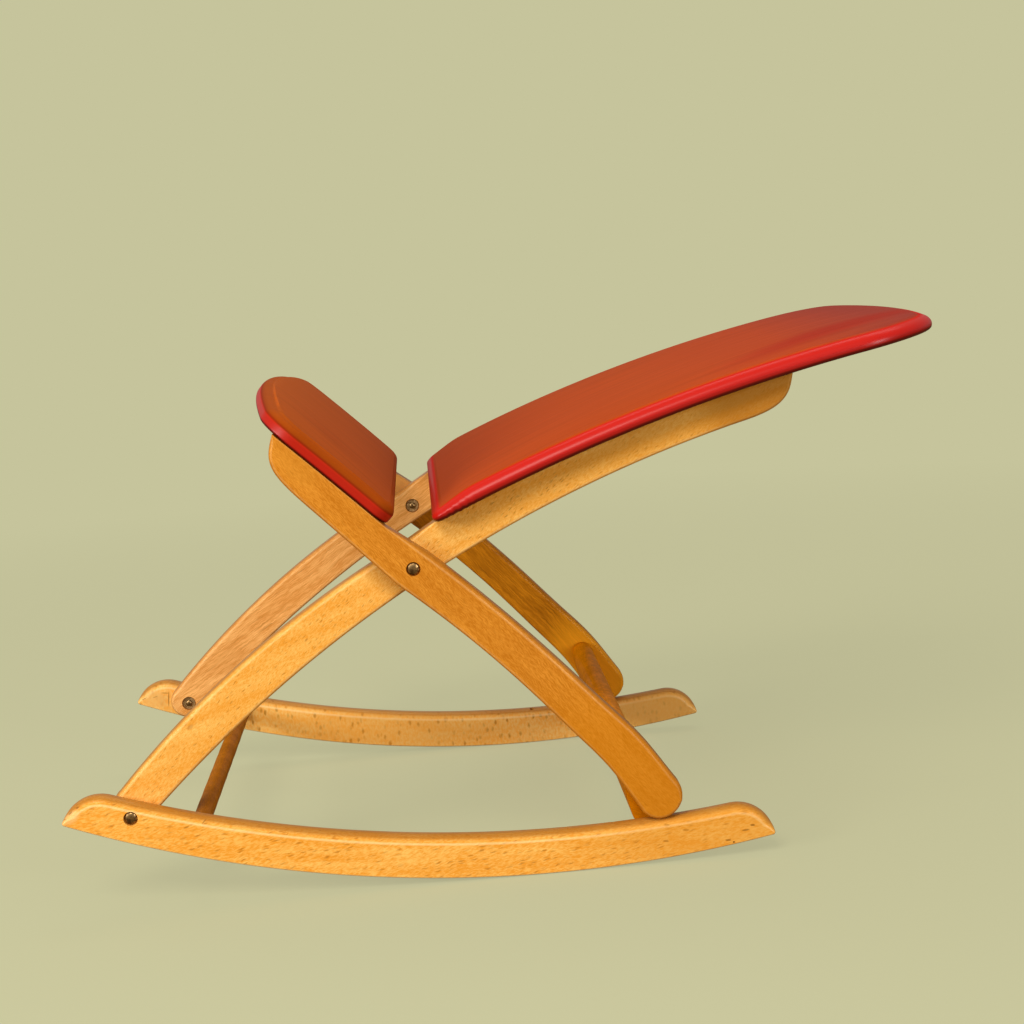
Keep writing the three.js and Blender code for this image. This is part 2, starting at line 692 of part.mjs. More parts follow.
// Holes in a pad board for the shanks and the countersunk heads of its screws.
function screwHoles(rest) {
  const holes = [];
  for (const side of sides) {
    for (const turn of screwTurns(rest)) {
      const up = onCircle(benchOrigin, 1, turn);
      const y = side.sign * rest.layer;
      const low = onCircle(rest.centre, rest.pad.radius - cutOverrun, turn);
      const length = padBoard.thickness + 2 * cutOverrun;
      holes.push(edgeBore(low, up, screw.shankRadius + fit, length, y));
      const sink = new THREE.CylinderGeometry(
        screw.headRadius + 2 * fit, screw.shankRadius + fit, screw.headHeight + fit, smallSides,
      );
      sink.rotateZ(turn - Math.PI / 2);
      sink.rotateX(Math.PI / 2);
      const middle = rest.pad.radius + padBoard.thickness - (screw.headHeight - fit) / 2;
      const seat = onCircle(rest.centre, middle, turn);
      holes.push(sink.translate(seat.x, y, seat.y));
    }
  }
  return holes;
}

function addPad(add, name, rest) {
  const boardTop = padBoard.thickness;
  const waddingTop = rest.pad.edgeHeight - padCover.skin - waddingGap;
  const waddingInset = padCover.skin + waddingGap;
  const shoulder = padCover.roll;
  const boardLevels = [[boardInset + padCover.tuck, 0], [boardInset + padCover.tuck / 2, boardTop]];
  const waddingLevels = [
    [waddingInset + padCover.tuck / 2, boardTop + fit],
    [waddingInset + shoulder / 4, (boardTop + waddingTop) / 2],
    [waddingInset + shoulder, waddingTop],
  ];
  const board = cutAway(slabGeometry(rest, boardLevels, 0), screwHoles(rest));
  add(`${name}_board`, board, plywood, benchOrigin, 0);
  add(`${name}_wadding`, slabGeometry(rest, waddingLevels, rest.pad.crown), cotton, benchOrigin, 0);
  add(`${name}_cover`, coverGeometry(rest), redVinyl, benchOrigin, 0);
  let number = 0;
  for (const side of sides) {
    for (const turn of screwTurns(rest)) {
      number += 1;
      const tip = onCircle(rest.centre, rest.pad.radius + padBoard.thickness - fit - screw.length, turn);
      const mesh = add(`${name}_screw_${number}`, screwGeometry(), steel, tip, side.sign * rest.layer);
      mesh.rotation.set(Math.PI / 2, 0, turn - Math.PI / 2, 'XZY');
    }
  }
}

addPad(toBack, 'back', backRest);
addPad(toSeat, 'seat', seatRest);

// The chair rocks until its weight is over the contact of the soles. Its origin is under its middle.
chair.rotation.y = restLean;
const box = new THREE.Box3().setFromObject(chair, true);
const middle = box.getCenter(new THREE.Vector3());
chair.position.set(-middle.x, -middle.y, -box.min.z);
chair.updateMatrixWorld(true);

export default chair;
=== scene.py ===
"""Looks of a low folding rocking chair: varnished beech boards, turned brass rivets, red vinyl pads.

Lengths are in millimetres in the side view of the workshop drawing, where the rockers stand level,
x runs along them and z up, and y across the chair. stand() sets them down in the frame, in metres.
"""

import json
import math

import bmesh
import bpy
from mathutils import Matrix, Vector


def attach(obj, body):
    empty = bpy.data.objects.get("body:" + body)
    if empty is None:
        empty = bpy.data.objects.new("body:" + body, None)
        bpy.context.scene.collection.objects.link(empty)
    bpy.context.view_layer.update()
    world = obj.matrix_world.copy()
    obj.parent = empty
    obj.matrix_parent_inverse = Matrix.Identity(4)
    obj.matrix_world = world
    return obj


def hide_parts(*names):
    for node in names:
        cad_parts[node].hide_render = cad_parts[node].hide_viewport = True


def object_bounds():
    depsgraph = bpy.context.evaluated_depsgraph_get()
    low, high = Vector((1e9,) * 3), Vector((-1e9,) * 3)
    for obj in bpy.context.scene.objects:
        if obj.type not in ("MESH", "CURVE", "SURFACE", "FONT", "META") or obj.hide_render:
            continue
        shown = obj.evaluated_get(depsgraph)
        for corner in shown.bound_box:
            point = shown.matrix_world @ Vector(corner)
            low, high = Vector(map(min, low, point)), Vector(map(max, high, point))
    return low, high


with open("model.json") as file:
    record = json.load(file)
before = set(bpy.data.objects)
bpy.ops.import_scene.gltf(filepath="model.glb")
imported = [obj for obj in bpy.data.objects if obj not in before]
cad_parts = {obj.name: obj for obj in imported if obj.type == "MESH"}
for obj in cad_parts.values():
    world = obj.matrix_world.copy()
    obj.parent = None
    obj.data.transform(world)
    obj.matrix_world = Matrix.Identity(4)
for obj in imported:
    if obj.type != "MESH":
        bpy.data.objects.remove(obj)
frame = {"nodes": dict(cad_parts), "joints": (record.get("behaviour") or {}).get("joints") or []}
cad_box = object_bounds()
scene = bpy.context.scene

# ROCKERS
# Two boards of beech sawn to a curve, convex below and slightly hollow on top, with rounded ends.
# The router left a wide rounding along the top edges and a tight one along the soles, and both are
# varnished. Each has a counterbored rivet hole and three stud holes on top.
mm = 0.001
chair_half_width = 217.25
board_thickness = 20
outer_layer = chair_half_width - board_thickness / 2
board_gap = 1.4
inner_layer = outer_layer - board_thickness - board_gap
rest_lean = math.radians(5.95)
rocker_length, rocker_depth = 621.2, 37.7
sole_radius, rocker_top_radius, rocker_end_radius, rocker_tip_radius = 1122, 1205, 34, 2.5
pivot_from_tip, pivot_below_top = 59, 13.3
seat_foot_from_middle, stud_spacing, stud_radius, stud_depth = 210, 42.5, 2.5, 12

sole_centre = Vector((0, sole_radius))
rocker_top_centre = Vector((0, rocker_depth + rocker_top_radius))


def on_circle(centre, radius, angle):
    return Vector((centre[0] + radius * math.cos(angle), centre[1] + radius * math.sin(angle)))


def angle_from(centre, point):
    return math.atan2(point[1] - centre[1], point[0] - centre[0])


def circles_meet(first, first_radius, second, second_radius):
    """The place where two circles meet, to the left of the way from the first centre to the second."""
    across = second - first
    distance = across.length
    along = (distance ** 2 + first_radius ** 2 - second_radius ** 2) / (2 * distance)
    aside = math.sqrt(first_radius ** 2 - along ** 2)
    unit = across / distance
    return first + unit * along + Vector((-unit.y, unit.x)) * aside


def arc(centre, radius, start, end, chord=4.0):
    steps = max(3, math.ceil(abs(end - start) * radius / chord))
    return [on_circle(centre, radius, start + (end - start) * i / steps) for i in range(steps + 1)]


def joined(*runs):
    """One closed outline from runs of points, without the points that neighbours share."""
    points = []
    for point in [p for run in runs for p in run]:
        if not points or (point - points[-1]).length > 0.3:
            points.append(point)
    if (points[0] - points[-1]).length <= 0.3:
        points.pop()
    return points


def on_rocker_top(x, below):
    return Vector((x, rocker_top_centre.y - math.sqrt(rocker_top_radius ** 2 - x ** 2) - below))


back_pivot = on_rocker_top(pivot_from_tip - rocker_length / 2, pivot_below_top)
pivot_in_frame = Vector(next(j for j in frame["joints"] if j["name"] == "back_pivot")["pos_m"])


def stand(x, y, z):
    """A point of the drawing in the frame, where the chair leans as its weight makes it."""
    turned = Matrix.Rotation(rest_lean, 3, "Y") @ Vector((x - back_pivot.x, y, z - back_pivot.y))
    return pivot_in_frame + turned * mm


def new_object(name, bm):
    mesh = bpy.data.meshes.new(name)
    bmesh.ops.recalc_face_normals(bm, faces=bm.faces)
    bm.to_mesh(mesh)
    bm.free()
    made = bpy.data.objects.new(name, mesh)
    scene.collection.objects.link(made)
    return made


def smooth(piece, crease=38):
    """Smooth shading with sharp creases, and flat faces that stay flat."""
    piece.data.polygons.foreach_set("use_smooth", [True] * len(piece.data.polygons))
    piece.data.set_sharp_from_angle(angle=math.radians(crease))
    weighted = piece.modifiers.new("flat faces", "WEIGHTED_NORMAL")
    weighted.keep_sharp = True
    return piece


def room(outline):
    """How wide a rounding each point of an outline leaves room for: none at a sharp corner, little more
    than the curve's own radius at a bend, and growing from there along the outline."""
    count = len(outline)
    outward = 1 if sum(outline[i - 1].cross(outline[i]) for i in range(count)) > 0 else -1
    runs = [(outline[(i + 1) % count] - outline[i]).length for i in range(count)]
    widths = []
    for i in range(count):
        before, after = outline[i] - outline[i - 1], outline[(i + 1) % count] - outline[i]
        turn = outward * math.atan2(before.cross(after), before.dot(after))
        sharp = turn > math.radians(40)
        widths.append(0.05 if sharp else (runs[i] + runs[i - 1]) / 2 / turn if turn > 0.01 else math.inf)
    for _ in range(2):
        for i in range(count):
            widths[i] = min(widths[i], widths[i - 1] + 0.7 * runs[i - 1])
        for i in reversed(range(count)):
            widths[i] = min(widths[i], widths[(i + 1) % count] + 0.7 * runs[i])
    return [0.85 * width for width in widths], outward


def saw_board(name, outline, thickness, layer, arris, grain, plank, arris_steps=6):
    """A board with rounded edges. arris(point, way) gives the rounding at a point whose edge faces that
    way. The piece's own x runs along the grain, and plank says which part of the plank it was cut from."""
    middle = sum(outline, Vector((0, 0))) / len(outline)
    turned = Matrix.Rotation(-grain, 2)
    count = len(outline)
    widths, outward = room(outline)
    ways, radii = [], []
    for i, width in enumerate(widths):
        run = outline[(i + 1) % count] - outline[i - 1]
        ways.append(Vector((run.y, -run.x)).normalized() * outward)
        radii.append(min(arris(outline[i], ways[-1]), width))
    rings = []
    for side in (-1, 1):
        turns = [math.pi / 2 * step / arris_steps for step in range(arris_steps + 1)]
        for turn in turns if side < 0 else reversed(turns):
            ring = []
            for point, way, radius in zip(outline, ways, radii):
                placed = point - way * radius * (1 - math.sin(turn))
                local = turned @ (placed - middle)
                y = side * (thickness / 2 - radius * (1 - math.cos(turn)))
                ring.append(Vector((local.x, y, local.y)) * mm + Vector(plank))
            rings.append(ring)
    bm = bmesh.new()
    rows = [[bm.verts.new(point) for point in ring] for ring in rings]
    for first, second in zip(rows, rows[1:]):
        for i in range(count):
            bm.faces.new((first[i - 1], first[i], second[i], second[i - 1]))
    bm.faces.new(rows[0])
    bm.faces.new(rows[-1])
    board = new_object(name, bm)
    board.matrix_world = (
        Matrix.Translation(stand(middle.x, layer, middle.y))
        @ Matrix.Rotation(rest_lean - grain, 4, "Y") @ Matrix.Translation(-Vector(plank))
    )
    return board


def note_places(board, layer):
    """Keeps each corner's place in the drawing, with y from the board's middle, for the painted light and
    shade along the rounded edges and for the marks.
    """
    level = Matrix.Rotation(-rest_lean, 3, "Y")
    offset = Vector((back_pivot.x, -layer, back_pivot.y)) * mm
    drawn = board.data.attributes.new("drawn", "FLOAT_VECTOR", "POINT")
    for corner, value in zip(board.data.vertices, drawn.data):
        value.vector = level @ (board.matrix_world @ corner.co - pivot_in_frame) + offset
    return board


def lathe(name, profile, sides, ring=False):
    """A turned piece about its own y axis, from (radius, along) pairs in millimetres."""
    bm = bmesh.new()
    loops = []
    for radius, along in profile:
        if radius == 0:
            loops.append([bm.verts.new((0, along * mm, 0))] * sides)
            continue
        turns = [2 * math.pi * i / sides for i in range(sides)]
        loops.append([
            bm.verts.new((radius * mm * math.cos(t), along * mm, radius * mm * math.sin(t))) for t in turns
        ])
    pairs = list(zip(loops, loops[1:])) + ([(loops[-1], loops[0])] if ring else [])
    for first, second in pairs:
        for i in range(sides):
            corners = []
            for corner in (first[i - 1], first[i], second[i], second[i - 1]):
                if corner not in corners:
                    corners.append(corner)
            if len(corners) > 2:
                bm.faces.new(corners)
    return new_object(name, bm)


def drill(board, cutters):
    """Cuts the cutters out of the board and throws them away."""
    for cutter in cutters:
        cut = board.modifiers.new("drill", "BOOLEAN")
        cut.operation, cut.solver, cut.object = "DIFFERENCE", "EXACT", cutter
    bpy.context.view_layer.update()
    done = board.evaluated_get(bpy.context.evaluated_depsgraph_get())
    mesh = bpy.data.meshes.new_from_object(done)
    board.modifiers.clear()
    board.data = mesh
    for cutter in cutters:
        bpy.data.objects.remove(cutter)
    return board


def cross_cutter(centre, profile, layer, sign):
    """A cutter across the board. Along it, y = 0 is the board's middle and +y its outer side."""
    cutter = lathe("cutter", profile, 40)
    flip = Matrix.Rotation(0 if sign > 0 else math.pi, 4, "X")
    cutter.matrix_world = Matrix.Translation(stand(centre.x, layer, centre.y)) @ flip
    return cutter


def edge_cutter(start, way, radius, length, y):
    """A round cutter from a point of the side view along a direction."""
    cutter = lathe("cutter", [(0, 0), (radius, 0), (radius, length), (0, length)], 24)
    turn = math.atan2(way[1], way[0]) - math.pi / 2
    cutter.matrix_world = (
        Matrix.Translation(stand(start[0], y, start[1]))
        @ Matrix.Rotation(rest_lean - turn, 4, "Y") @ Matrix.Rotation(math.pi / 2, 4, "X")
    )
    return cutter


shank_radius, bore_radius = 3, 3.4
head_recess_radius, head_recess_depth = 6.2, 2.6
burr_recess_radius, burr_recess_depth = 7.4, 3.2
half_board = board_thickness / 2
outer_bore = [
    (0, -half_board - 1), (bore_radius, -half_board - 1), (bore_radius, half_board - head_recess_depth),
    (head_recess_radius, half_board - head_recess_depth), (head_recess_radius, half_board + 1),
    (0, half_board + 1),
]
inner_bore = [
    (0, -half_board - 1), (burr_recess_radius, -half_board - 1),
    (burr_recess_radius, burr_recess_depth - half_board), (bore_radius, burr_recess_depth - half_board),
    (bore_radius, half_board + 1), (0, half_board + 1),
]


def tone(code):
    """Linear colour of an sRGB hex value."""
    channels = [int(code[i:i + 2], 16) / 255 for i in (1, 3, 5)]
    return (*[c / 12.92 if c <= 0.04045 else ((c + 0.055) / 1.055) ** 2.4 for c in channels], 1)


def add(tree, kind, inputs=None, ramp=None, **settings):
    """A node with its settings, its values and links by socket, and the stops of its ramp."""
    made = tree.nodes.new(kind)
    for key, value in settings.items():
        setattr(made, key, value)
    for key, value in (inputs or {}).items():
        if isinstance(value, bpy.types.NodeSocket):
            tree.links.new(value, made.inputs[key])
        else:
            made.inputs[key].default_value = value
    if ramp:
        stops = made.color_ramp.elements
        while len(stops) < len(ramp):
            stops.new(1)
        for stop, (place, colour) in zip(stops, ramp):
            stop.position, stop.color = place, colour
    return made


def blank_material(name):
    material = bpy.data.materials.new(name)
    material.use_nodes = True
    material.node_tree.nodes.clear()
    return material, material.node_tree


white, black = (1, 1, 1, 1), (0, 0, 0, 1)
near_face, mark_depth = -board_thickness / 2, 6


def wear_and_painted_light_place(tree, under, place, centre, size, turn, core, code, strength):
    """Blends a colour over an oval place, at full strength in its core, which is a share of its half sizes:
    real marks, and also painted light, shade and reflection. Millimetres, and degrees about each axis."""
    spot = add(tree, "ShaderNodeMapping", {
        "Vector": place, "Location": [part * mm for part in centre],
        "Rotation": [math.radians(angle) for angle in turn], "Scale": [half * mm for half in size]},
        vector_type="TEXTURE")
    reach = add(tree, "ShaderNodeVectorMath", {0: spot.outputs[0]}, operation="LENGTH")
    mask = add(tree, "ShaderNodeMapRange", {
        "Value": reach.outputs["Value"], "From Min": core, "From Max": 1, "To Min": strength,
        "To Max": 0}, interpolation_type="SMOOTHSTEP")
    return add(tree, "ShaderNodeMix", {
        0: mask.outputs[0], 6: under, 7: tone(code)}, data_type="RGBA").outputs[2]


def beech(name, pale, deep, fleck, rays, turn, share, gloss=1, rim=0, marks=()):
    """Flat-sawn beech under clear varnish: golden wood full of short slanting strokes, with a few rays that
    show as darker flecks, over soft bands of growth and soft patches that are paler and smoother where the
    silk noise is low: the smoothness is real, and the paler colour is painted sheen of the figure. rays gives
    the length and width of a fleck's cell, of which it fills up to 0.8, turn its slant and share how many
    there are.
    On a board with marks, a pale line runs along the rounded edges where they meet the faces, by rim: a
    painted highlight of the varnish. Beyond it the rounded edges turn darker as painted shade, and rim also
    sets how dark. marks are (x, z, length, height, turn, colour, strength) in the drawing, on the near face
    unless y follows: worn, bruised, darker or paler places, some of them painted shade and some painted
    light, as noted where they are listed."""
    material, tree = blank_material(name)
    place = add(tree, "ShaderNodeTexCoord").outputs["Object"]
    bend = add(tree, "ShaderNodeTexNoise", {"Vector": place, "Scale": 11, "Detail": 1})
    ripple = add(tree, "ShaderNodeTexNoise", {"Vector": place, "Scale": 220, "Detail": 1})
    waved = add(tree, "ShaderNodeVectorMath", {
        0: bend.outputs["Color"], 1: (0, 5 * mm, 12 * mm), 2: place}, operation="MULTIPLY_ADD")
    waved = add(tree, "ShaderNodeVectorMath", {
        0: ripple.outputs["Color"], 1: (2 * mm, 0, 2.4 * mm), 2: waved.outputs[0]},
        operation="MULTIPLY_ADD").outputs[0]
    grown, stroked, silky, rayed = [
        add(tree, "ShaderNodeMapping", {
            "Vector": waved, "Rotation": (0, math.radians(angle), 0),
            "Scale": (length * mm, width * mm, width * mm)}, vector_type="TEXTURE").outputs[0]
        for length, width, angle in (
            (170, 8, 0), (rays[0] * 0.42, rays[1] * 0.42, turn), (60, 22, 0), (*rays, turn))]

    growth = add(tree, "ShaderNodeTexNoise", {"Vector": grown, "Scale": 1, "Detail": 2})
    strokes = add(tree, "ShaderNodeTexNoise", {
        "Vector": stroked, "Scale": 1, "Detail": 2, "Roughness": 0.6})
    silk = add(tree, "ShaderNodeTexNoise", {"Vector": silky, "Scale": 1, "Detail": 2})
    bands = add(tree, "ShaderNodeMapRange", {
        "Value": growth.outputs[0], "From Min": 0.35, "From Max": 0.68, "To Max": 0.4})
    streaks = add(tree, "ShaderNodeMapRange", {
        "Value": strokes.outputs[0], "From Min": 0.38, "From Max": 0.66, "To Max": 0.8})
    # Painted sheen: where silk is low the wood is paler, and below it also smoother.
    patches = add(tree, "ShaderNodeMapRange", {
        "Value": silk.outputs[0], "From Min": 0.35, "From Max": 0.65, "To Max": 0.26})
    depth = add(tree, "ShaderNodeMath", {0: bands.outputs[0], 1: streaks.outputs[0]}, operation="ADD")
    depth = add(tree, "ShaderNodeMath", {0: depth.outputs[0], 1: patches.outputs[0]}, operation="ADD")
    wood = add(tree, "ShaderNodeMix", {
        0: depth.outputs[0], 6: tone(pale), 7: tone(deep)}, data_type="RGBA").outputs[2]

    cells = add(tree, "ShaderNodeTexVoronoi", {"Vector": rayed, "Scale": 1})
    core = add(tree, "ShaderNodeMapRange", {
        "Value": cells.outputs["Distance"], "From Min": 0.14, "From Max": 0.4, "To Min": 0.75, "To Max": 0})
    chance = add(tree, "ShaderNodeSeparateColor", {0: cells.outputs["Color"]})
    spread = add(tree, "ShaderNodeMath", {
        0: silk.outputs[0], 1: 2 * share, 2: chance.outputs[0]}, operation="MULTIPLY_ADD")
    kept = add(tree, "ShaderNodeMapRange", {"Value": spread.outputs[0], "From Min": 0.9, "From Max": 1.45})
    flecks = add(tree, "ShaderNodeMath", {0: core.outputs[0], 1: kept.outputs[0]}, operation="MULTIPLY")
    layers = [(flecks, fleck)]
    if marks:
        drawn = add(tree, "ShaderNodeAttribute", attribute_name="drawn").outputs["Vector"]
        across = add(tree, "ShaderNodeSeparateXYZ", {0: drawn})
        off_middle = add(tree, "ShaderNodeMath", {0: across.outputs[1]}, operation="ABSOLUTE")
        # Painted shade: the rounded edges away from the faces are coloured darker.
        amber = add(tree, "ShaderNodeMapRange", {
            "Value": off_middle.outputs[0], "From Min": 7 * mm, "From Max": 9.6 * mm,
            "To Min": 0.5 + 0.5 * rim, "To Max": 0})
        # Painted highlight: a pale line along the rounded edges just inside the faces, as strong as rim.
        painted_arris_highlight = add(tree, "ShaderNodeMapRange", {
            "Value": off_middle.outputs[0], "From Min": 9 * mm, "From Max": 10 * mm})
        painted_arris_highlight = add(tree, "ShaderNodeValToRGB", {0: painted_arris_highlight.outputs[0]}, [
            (0.3, black), (0.8, (rim, rim, rim, 1)), (0.99, black)])
        layers += [(amber, "#9E6220"), (painted_arris_highlight, "#FFE2A4")]
    for mask, code in layers:
        wood = add(tree, "ShaderNodeMix", {
            0: mask.outputs[0], 6: wood, 7: tone(code)}, data_type="RGBA").outputs[2]
    for x, z, length, height, angle, code, strength, *ys in marks:
        wood = wear_and_painted_light_place(tree, wood, drawn, (x, ys[0] if ys else near_face, z),
                          (length / 2, mark_depth, height / 2), (0, -angle, 0), 0.4, code, strength)
    relief = add(tree, "ShaderNodeMath", {0: streaks.outputs[0], 1: flecks.outputs[0]}, operation="ADD")
    bump = add(tree, "ShaderNodeBump", {
        "Height": relief.outputs[0], "Strength": 0.14, "Distance": 0.12 * mm}, invert=True)
    uneven = add(tree, "ShaderNodeMapRange", {
        "Value": silk.outputs[0], "From Min": 0.35, "From Max": 0.65, "To Min": 0.3, "To Max": 0.4})
    shader = add(tree, "ShaderNodeBsdfPrincipled", {
        "Base Color": wood, "Roughness": uneven.outputs[0], "Normal": bump.outputs[0], "IOR": 1.5,
        "Specular IOR Level": 0.28 * gloss, "Specular Tint": tone("#FFC880"), "Coat Weight": 0.08 * gloss,
        "Coat Roughness": 0.16})
    add(tree, "ShaderNodeOutputMaterial", {0: shader.outputs[0]})
    return material


near_rocker_marks = [
    (300, 45, 420, 150, 0, "#D88F30", 0.45),
    (-303, 51, 24, 14, 35, "#F2C684", 0.5), (-303, 54.5, 7, 2, 45, "#74481A", 0.6),
    (-297, 59.5, 5, 2.4, 30, "#6E4218", 0.6), (-308, 49, 6, 2, 20, "#8E5E26", 0.5),
    (-189, 49, 8, 1.8, 48, "#74481A", 0.55), (-204, 44, 7, 2, 20, "#96601F", 0.6),
    (289, 52, 6, 2.6, 0, "#8A5412", 0.8), (283, 47.4, 9, 2.4, 10, "#8A5412", 0.7),
    (268, 38, 7, 2, 0, "#7A4A10", 0.7), (273, 36.3, 2.4, 2, 0, "#2A1606", 0.9),
    (230, 46.8, 8, 3, 0, "#A06418", 0.5), (213, 51, 7, 2.4, 0, "#A06418", 0.5),
    (212.8, 36.5, 7, 2.4, 0, "#96601F", 0.6),
    (167.9, 57, 15, 9, 0, "#F3CF9C", 0.75, 0), (124.1, 52.5, 13, 8, 0, "#F3CF9C", 0.75, 0),
]
# The first far rocker mark is painted light: a paler patch over the right end, which the long pad shades.
far_rocker_marks = [
    (262, 44, 150, 56, 8, "#F4B860", 0.7),
    (-292, 49, 34, 30, 0, "#E9B368", 0.6), (-276.3, 50, 1.6, 22, 0, "#7A4B18", 0.7),
    (-280.4, 56.7, 12, 1.4, 0, "#7A4B18", 0.6), (-303.2, 49.6, 9, 1.4, 30, "#7A4B18", 0.6),
    (-291, 52, 8, 1.4, 20, "#8A5A20", 0.5), (-40, 20, 330, 60, 0, "#C98630", 0.35),
]
golden_beech = beech(
    "varnished_beech_golden", "#FFC768", "#EE9B30", "#B87220", (10, 2.4), -18, 0.6, 1, 0.5,
    near_rocker_marks)
# The far rocker's base colours are paler than the near rocker's: painted light on the far side, which the
# pads shade.
far_rocker_beech = beech(
    "varnished_beech_ray_fleck", "#FFCE78", "#FCB04C", "#B46E18", (9, 5), 82, 0.66, 1, 0.5,
    far_rocker_marks)


def rocker_arris(point, way):
    """Wide along the top and tight along the sole, with an even change round the ends."""
    return 1.6 + 6.9 * min(1, max(0, way.y + 0.15) / 0.6)


def rocker_outline():
    sharp_tip = on_circle(sole_centre, sole_radius, math.asin(rocker_length / 2 / sole_radius) - math.pi / 2)
    end_centre = circles_meet(
        sharp_tip, rocker_end_radius, rocker_top_centre, rocker_top_radius + rocker_end_radius)
    tip_centre = circles_meet(
        sole_centre, sole_radius - rocker_tip_radius, end_centre, rocker_end_radius - rocker_tip_radius)
    sole_turn, tip_turn = angle_from(sole_centre, tip_centre), angle_from(end_centre, tip_centre)
    top_turn, top_from = angle_from(end_centre, rocker_top_centre), angle_from(rocker_top_centre, end_centre)
    right_end = (arc(tip_centre, rocker_tip_radius, sole_turn, tip_turn, 0.6)
                 + arc(end_centre, rocker_end_radius, tip_turn, top_turn, 2.5))
    left_end = [Vector((-point.x, point.y)) for point in reversed(right_end)]
    return joined(
        arc(sole_centre, sole_radius, -math.pi - sole_turn, sole_turn, 6), right_end,
        arc(rocker_top_centre, rocker_top_radius, top_from, -math.pi - top_from, 6), left_end,
    )


sides = [("near", -1), ("far", 1)]
planks = {"near": (0.9, 0.1, 0.3), "far": (2.1, 0.4, 0.8)}
for side, sign in sides:
    rocker = saw_board(f"rocker_{side}_board", rocker_outline(), board_thickness, sign * outer_layer,
                       rocker_arris, 0, planks[side])
    cutters = [cross_cutter(back_pivot, outer_bore, sign * outer_layer, sign)]
    for index in range(3):
        angle = (seat_foot_from_middle - index * stud_spacing) / rocker_top_radius - math.pi / 2
        bottom = on_circle(rocker_top_centre, rocker_top_radius + stud_depth, angle)
        up = (rocker_top_centre - bottom).normalized()
        y = sign * (outer_layer - board_thickness / 6)
        cutters.append(edge_cutter(bottom, up, stud_radius, stud_depth + 2, y))
    smooth(note_places(drill(rocker, cutters), sign * outer_layer))
    rocker.data.materials.append(golden_beech if side == "near" else far_rocker_beech)
    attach(rocker, "base")
    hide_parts(f"rocker_{side}")

# RUNG
# A turned beech rod between the rockers, glued into blind holes. Its colours are darker than the boards'.
rung_radius, rung_from_tip, rung_below_top = 8, 115.6, 15
shoulder = chair_half_width - board_thickness - 0.3
rung_centre = on_rocker_top(rung_from_tip - rocker_length / 2, rung_below_top)
rung_profile = [(0, -shoulder), (rung_radius - 0.6, -shoulder), (rung_radius, 0.6 - shoulder)]
for step in range(1, 24):
    along = -shoulder + 2 * shoulder * step / 24
    rung_profile.append((rung_radius + 0.12 * math.sin(step * 2.3), along))
rung_profile += [(rung_radius, shoulder - 0.6), (rung_radius - 0.6, shoulder), (0, shoulder)]
rung = lathe("rocker_rung_rod", rung_profile, 48)
rung.matrix_world = Matrix.Translation(stand(rung_centre.x, 0, rung_centre.y))
smooth(rung)
rung_beech = beech("varnished_beech_turned", "#B86C0A", "#965608", "#603608", (1.2, 14), 0, 0.2, 0.05)
rung.data.materials.append(rung_beech)
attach(rung, "base")
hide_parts("rocker_rung")

# BACK LEGS
# Two long bowed legs, sawn from straight planks, so that the grain crosses the bow at a slant. Their
# top edges are widely rounded, and the pad lies in a flatter stretch beyond the crossing.
fit = 0.3
pad_underside_radius = {"back": 1700, "seat": 4000}


def bow_centre(first, second, radius):
    left, right = (first, second) if first.x < second.x else (second, first)
    return circles_meet(right, radius, left, radius)


def bow(start, end, radius):
    centre = bow_centre(start, end, radius)
    return arc(centre, radius, angle_from(centre, start), angle_from(centre, end))


def leg_frame(origin, towards):
    """Places at a distance from one point towards another, and at a rise square to that line."""
    along = (towards - origin).normalized()
    upward = Vector((-along.y, along.x)) * math.copysign(1, along.x)
    return lambda distance, rise: origin + along * distance + upward * rise


def pad_rest(start, end, radius):
    """The arc of a pad's underside: its centre, its direction, and the turn at a distance along it."""
    centre = bow_centre(start, end, radius)
    direction = math.copysign(1, start.x - end.x)
    first = angle_from(centre, start)
    return centre, direction, lambda distance: first + direction * distance / radius


def bezier(a, b, c, d, steps=16):
    shares = [i / steps for i in range(steps + 1)]
    return [a * (1 - t) ** 3 + b * 3 * t * (1 - t) ** 2 + c * 3 * t * t * (1 - t) + d * t ** 3
            for t in shares]


